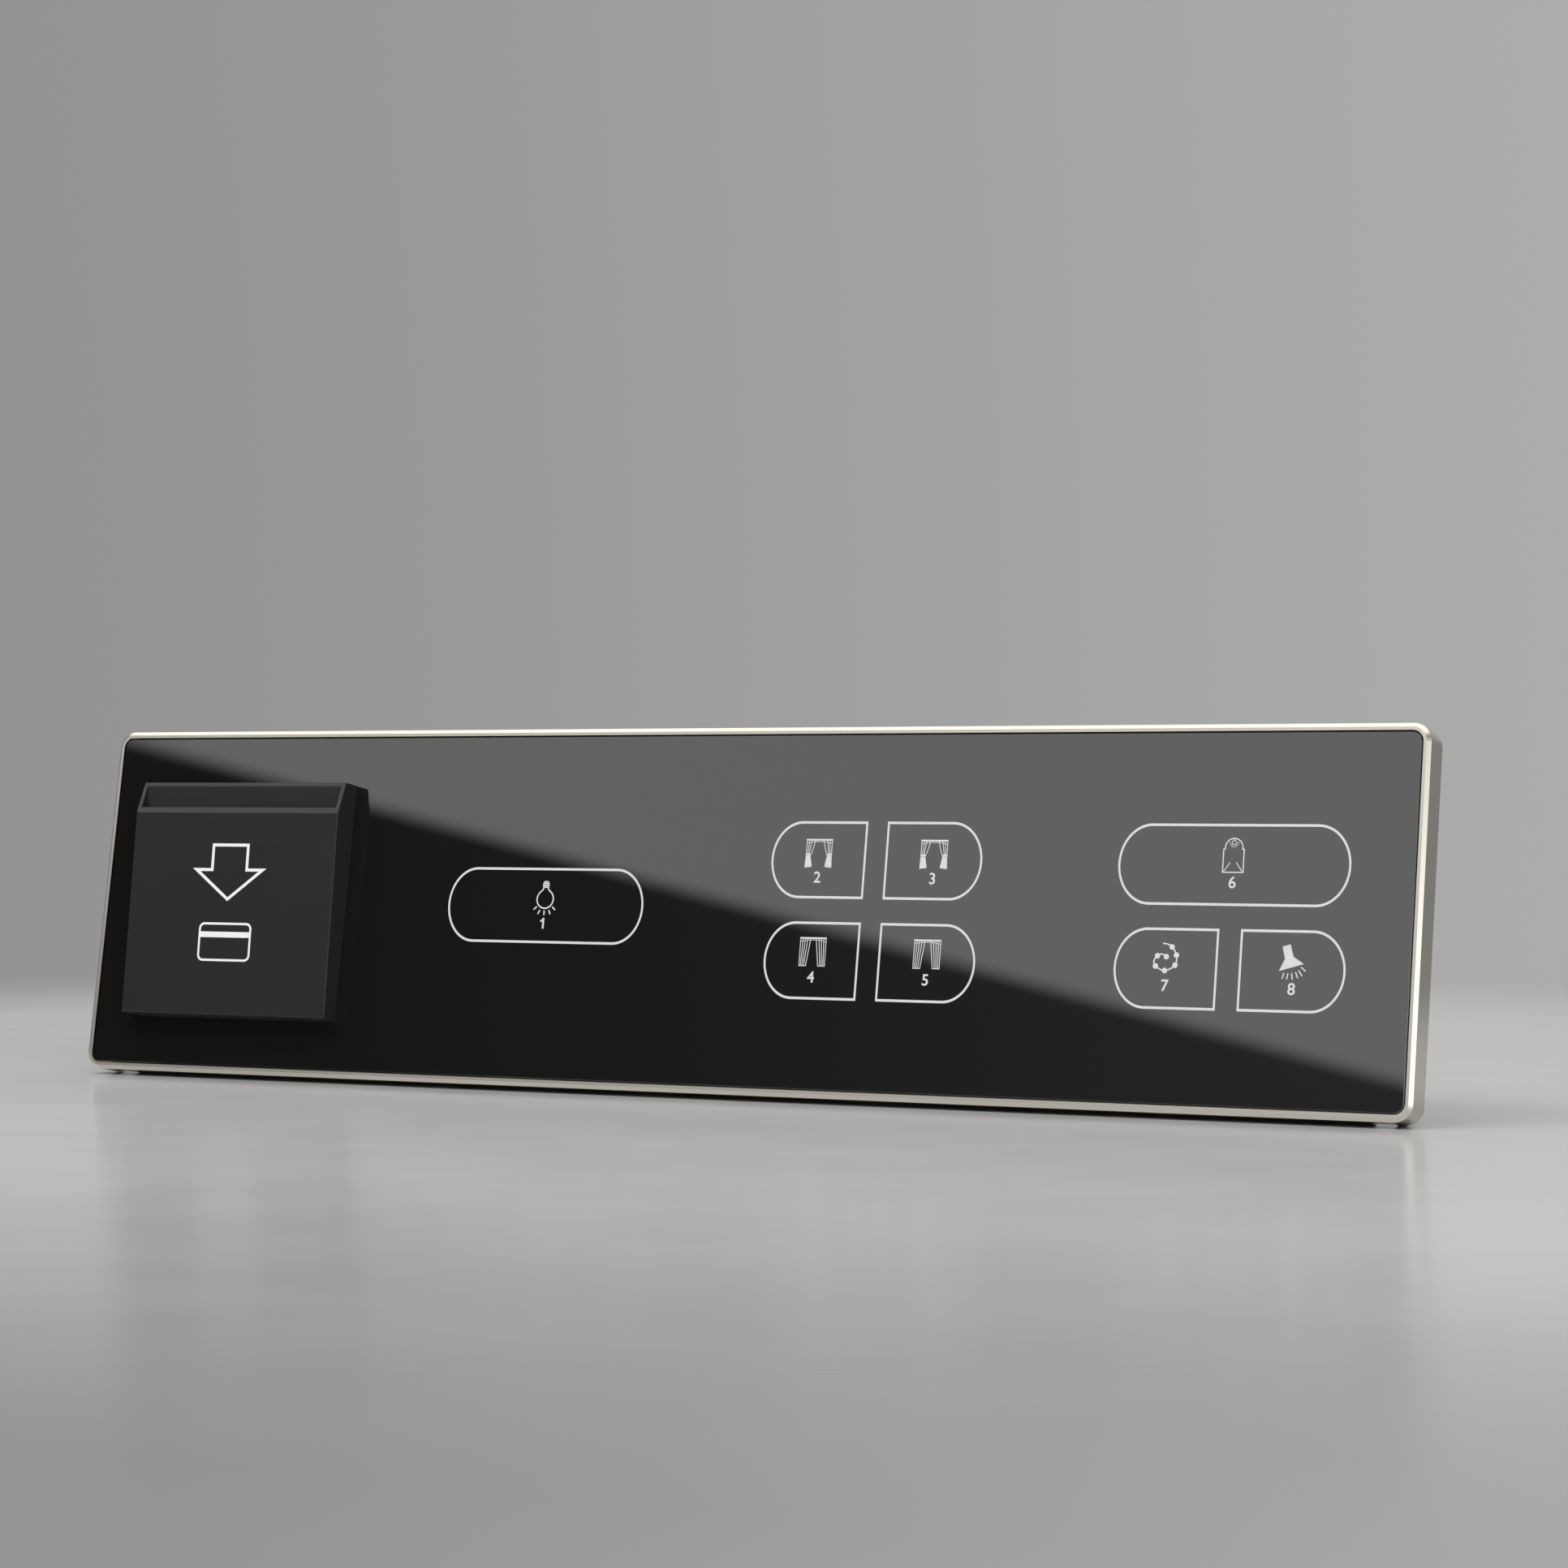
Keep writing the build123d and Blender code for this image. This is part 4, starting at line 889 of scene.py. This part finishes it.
def spot_icon(bm, x, z):
    """Spotlight that points down to the right, with its rays."""
    body = [(-2.44, 3.44), (-0.67, 3.94), (0.11, 1.28), (2.56, -0.28), (-3.0, -1.89), (-1.78, 0.72)]
    add_patch(bm, shifted(body, x, z), on_glass)
    rays = [((-1.83, -2.3), (-2.22, -3.56)), ((-0.94, -2.4), (-1.17, -3.67)),
            ((-0.11, -2.3), (0.11, -3.72)), ((0.78, -2.06), (1.33, -3.39)),
            ((1.44, -1.72), (2.28, -2.89)), ((1.94, -0.95), (3.0, -1.83))]
    for line in rays:
        add_band(bm, shifted(line, x, z), SPOT_RAY_LINE, on_glass)


# Pictogram of each key, its place as X and Z, and the height of the number under it
KEY_PRINT = (
    (bulb_icon, -42.9, 0.16, -4.25),
    (tied_curtains, 28.6, 13.37, 7.65),
    (tied_curtains, 57.6, 13.37, 7.65),
    (loose_curtains, 28.9, -9.47, -15.45),
    (loose_curtains, 57.6, -9.47, -15.45),
    (porch_icon, 129.1, 13.75, 7.65),
    (strip_icon, 114.9, -9.1, -15.3),
    (spot_icon, 143.9, -9.5, -15.4),
)


def key_icons(ink):
    """Pictograms above the numbers of the keys."""
    bm = bmesh.new()
    for icon, x, z, _ in KEY_PRINT:
        icon(bm, x, z)
    printed_piece("key_icons", bm, ink)


def add_number(bm, text, x, z):
    """A plain number, made from the built-in font."""
    curve = bpy.data.curves.new("number", "FONT")
    curve.body = text
    curve.size = FONT_SIZE
    curve.align_x = "CENTER"
    curve.align_y = "CENTER"
    curve.offset = NUMBER_BOLDNESS
    curve.extrude = INK_THICKNESS / 2
    mesh = plain_mesh(new_object("number", curve))
    for vertex in mesh.vertices:
        vertex.co = on_glass(x + vertex.co.x, z + vertex.co.y, vertex.co.z + INK_THICKNESS / 2)
    bm.from_mesh(mesh)
    bpy.data.curves.remove(curve)
    bpy.data.meshes.remove(mesh)


def key_numbers(ink):
    """Numbers 1 to 8 under the pictograms, with a bold flag on the 1."""
    bm = bmesh.new()
    for i, (_, x, _, z) in enumerate(KEY_PRINT):
        add_number(bm, str(i + 1), x, z)
    bmesh.ops.remove_doubles(bm, verts=bm.verts, dist=MERGE_DISTANCE * MM)
    _, x, _, z = KEY_PRINT[0]
    flag = [(-0.05, 1.1), (-0.75, 0.55)]
    add_band(bm, shifted(flag, x, z), NUMBER_STROKE, on_glass, coat=SECOND_COAT)
    printed_piece("key_numbers", bm, ink)


def holder_print(ink):
    """Arrow that shows the way in for the card, and a plain card under it."""
    bm = bmesh.new()
    half_line = ARROW_LINE / 2
    shaft, tip = 5.5 - half_line, 9.8
    top, shoulder, point = 13.35 - half_line, 7.2 - half_line, -0.47
    arrow = [(-shaft, top), (shaft, top), (shaft, shoulder), (tip, shoulder), (0, point),
             (-tip, shoulder), (-shaft, shoulder)]
    add_band(bm, shifted(arrow, HOLDER_PRINT_X, 0), ARROW_LINE, on_holder, closed=True)
    corner_x, corner_z, radius, steps = 6.2, 3.2, 1.3, 6
    low_corner = arc(corner_x, -corner_z, radius, -90, 0, steps)
    high_corner = arc(corner_x, corner_z, radius, 0, 90, steps)
    card = low_corner + high_corner + [(-px, -pz) for px, pz in low_corner + high_corner]
    add_band(bm, shifted(card, HOLDER_PRINT_X, CARD_Z), CARD_LINE, on_holder, closed=True)
    stripe = rectangle(-7.3, 1.1, 7.3, 2.5)
    add_patch(bm, shifted(stripe, HOLDER_PRINT_X, CARD_Z), on_holder)
    printed_piece("holder_print", bm, ink)


def floor_frame():
    """Turns studio directions, level on the floor, into the CAD frame."""
    return Matrix.Rotation(LEAN, 4, "X")


def add_camera():
    """Camera at the photograph's angle, level with the floor."""
    data = bpy.data.cameras.new("camera")
    data.lens = CAMERA_LENS
    data.sensor_width = CAMERA_SENSOR
    data.clip_end = CAMERA_REACH_METRES
    camera = new_object("camera", data)
    turn = floor_frame() @ Matrix.Rotation(CAMERA_AZIMUTH, 4, "Z") @ Matrix.Rotation(QUARTER, 4, "X")
    camera.matrix_world = Matrix.Translation(Vector(CAMERA_PLACE) * MM) @ turn
    bpy.context.scene.camera = camera


def floor_material():
    """Satin floor with painted shade that darkens it in front, fading out far from the panel, and not
    there from below.
    """
    material, tree, shader = new_material("studio_floor", [FLOOR_GREY] * 3, 0.2)
    shader.inputs["Specular IOR Level"].default_value = 0.3
    uneven_gloss(tree, object_pattern(tree, scale=25), shader, stray=0.02)
    _, y, _ = axes_of(tree)
    # Painted shade: the floor's grey darkens towards the front, standing in for light that falls off there
    shade = math_node(tree, "ADD", math_node(tree, "MULTIPLY", y, FLOOR_PAINTED_SHADE_SLOPE), 1)
    tint(tree, shade, [FLOOR_PAINTED_SHADE_GREY] * 3, [FLOOR_GREY] * 3, shader)
    reach = tree.nodes.new("ShaderNodeVectorMath")
    reach.operation = "LENGTH"
    link(tree, coordinates(tree), reach.inputs[0])
    radii = (FLOOR_NEAR_RADIUS * MM, FLOOR_FAR_RADIUS * MM)
    fade = fitted(tree, reach.outputs["Value"], radii, (0, 1), "SMOOTHSTEP")
    side = tree.nodes.new("ShaderNodeNewGeometry")
    gone = math_node(tree, "MAXIMUM", fade, side.outputs["Backfacing"])
    clear = tree.nodes.new("ShaderNodeBsdfTransparent")
    mix = tree.nodes.new("ShaderNodeMixShader")
    link(tree, gone, mix.inputs["Fac"])
    link(tree, shader.outputs["BSDF"], mix.inputs[1])
    link(tree, clear.outputs["BSDF"], mix.inputs[2])
    link(tree, mix.outputs["Shader"], tree.nodes["Material Output"].inputs["Surface"])
    return material


def add_floor():
    """Round fading floor under the leaning panel."""
    half = FLOOR_HALF_SIDE * MM
    mesh = bpy.data.meshes.new("studio_floor")
    corners = [(x, y, 0) for x, y in rectangle(-half, -half, half, half)]
    mesh.from_pydata(corners, [], [(0, 1, 2, 3)])
    mesh.materials.append(floor_material())
    floor = new_object("studio_floor", mesh)
    floor.matrix_world = Matrix.Translation((0, 0, -PANEL_HALF_HEIGHT * MM)) @ floor_frame()


def side_of(tree, direction, normal, edge, greys=(0, 1)):
    """A grey that goes softly from dark to light as a direction crosses a plane through the middle."""
    dot = tree.nodes.new("ShaderNodeVectorMath")
    dot.operation = "DOT_PRODUCT"
    dot.inputs[1].default_value = normal
    link(tree, direction, dot.inputs[0])
    return fitted(tree, dot.outputs["Value"], edge, greys, "SMOOTHSTEP")


def mirrored_edge_normal():
    """Normal of the plane that holds the camera's mirror image and the light's edge across the glass."""
    eye = Vector((CAMERA_PLACE[0], -2 * PANEL_DEPTH - CAMERA_PLACE[1], CAMERA_PLACE[2]))
    left, right = (Vector((x, -PANEL_DEPTH, z)) for x, z in MIRRORED_EDGE_ENDS)
    normal = (left - eye).cross(right - eye).normalized()
    return normal if normal.z > 0 else -normal


def add_studio_light():
    """Soft studio: pale walls behind, a dark room in front with a large soft light above it."""
    world = bpy.data.worlds.new("studio")
    bpy.context.scene.world = world
    world.use_nodes = True
    tree = world.node_tree
    direction = coordinates(tree, "Generated")
    dark_room = side_of(tree, direction, RIGHT, DARK_ROOM_EDGE, DARK_ROOM)
    lit = side_of(tree, direction, mirrored_edge_normal(), LIT_ROOM_EDGE)
    front = mixed(tree, lit, dark_room, LIT_ROOM)
    front = mixed(tree, side_of(tree, direction, RIGHT, FRONT_RIGHT_EDGE), front, FRONT_RIGHT)
    left_wall = side_of(tree, direction, RIGHT, LEFT_WALL_EDGE, LEFT_WALL)
    wall = mixed(tree, side_of(tree, direction, RIGHT, RIGHT_WALL_EDGE), left_wall, RIGHT_WALL)
    room = mixed(tree, side_of(tree, direction, BACK, BACK_WALL_EDGE), front, wall)
    room = mixed(tree, side_of(tree, direction, UP, OVERHEAD_EDGE), room, OVERHEAD)
    window = side_of(tree, direction, UP, WINDOW_SILL_EDGE, WINDOW)
    to_window = side_of(tree, direction, Vector(WINDOW_MIDDLE).normalized(), WINDOW_EDGE)
    room = mixed(tree, to_window, room, window)
    seen = tree.nodes.new("ShaderNodeLightPath").outputs["Is Camera Ray"]
    room = mixed(tree, seen, room, math_node(tree, "MINIMUM", room, WALL_IN_VIEW))
    background = tree.nodes["Background"]
    background.inputs["Color"].default_value = (1, 1, 1, 1)
    link(tree, room, background.inputs["Strength"])


def add_lamps():
    """Large soft key light from the front left and above, and a weaker one from the front right."""
    for name, (place, side, power) in LAMPS.items():
        data = bpy.data.lights.new(name, "AREA")
        data.size = side
        data.energy = power
        lamp = new_object(name, data)
        lamp.location = place
        lamp.rotation_mode = "QUATERNION"
        lamp.rotation_quaternion = (-Vector(place)).to_track_quat("-Z", "Y")
        lamp.visible_glossy = False


for startup_object in list(bpy.data.objects):
    bpy.data.objects.remove(startup_object)
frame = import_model()
bpy.context.scene.view_settings.view_transform = "Standard"
add_camera()
add_floor()
add_studio_light()
add_lamps()
finishes = dress_cad_nodes(frame)
add_screws(finishes["screw_steel"])
add_chip_legs(finishes["screw_steel"])
ink = white_ink("glass_ink", GLASS_INK_SHADE)
key_outlines(ink)
key_icons(ink)
key_numbers(ink)
holder_print(white_ink("holder_ink", HOLDER_INK_SHADE))
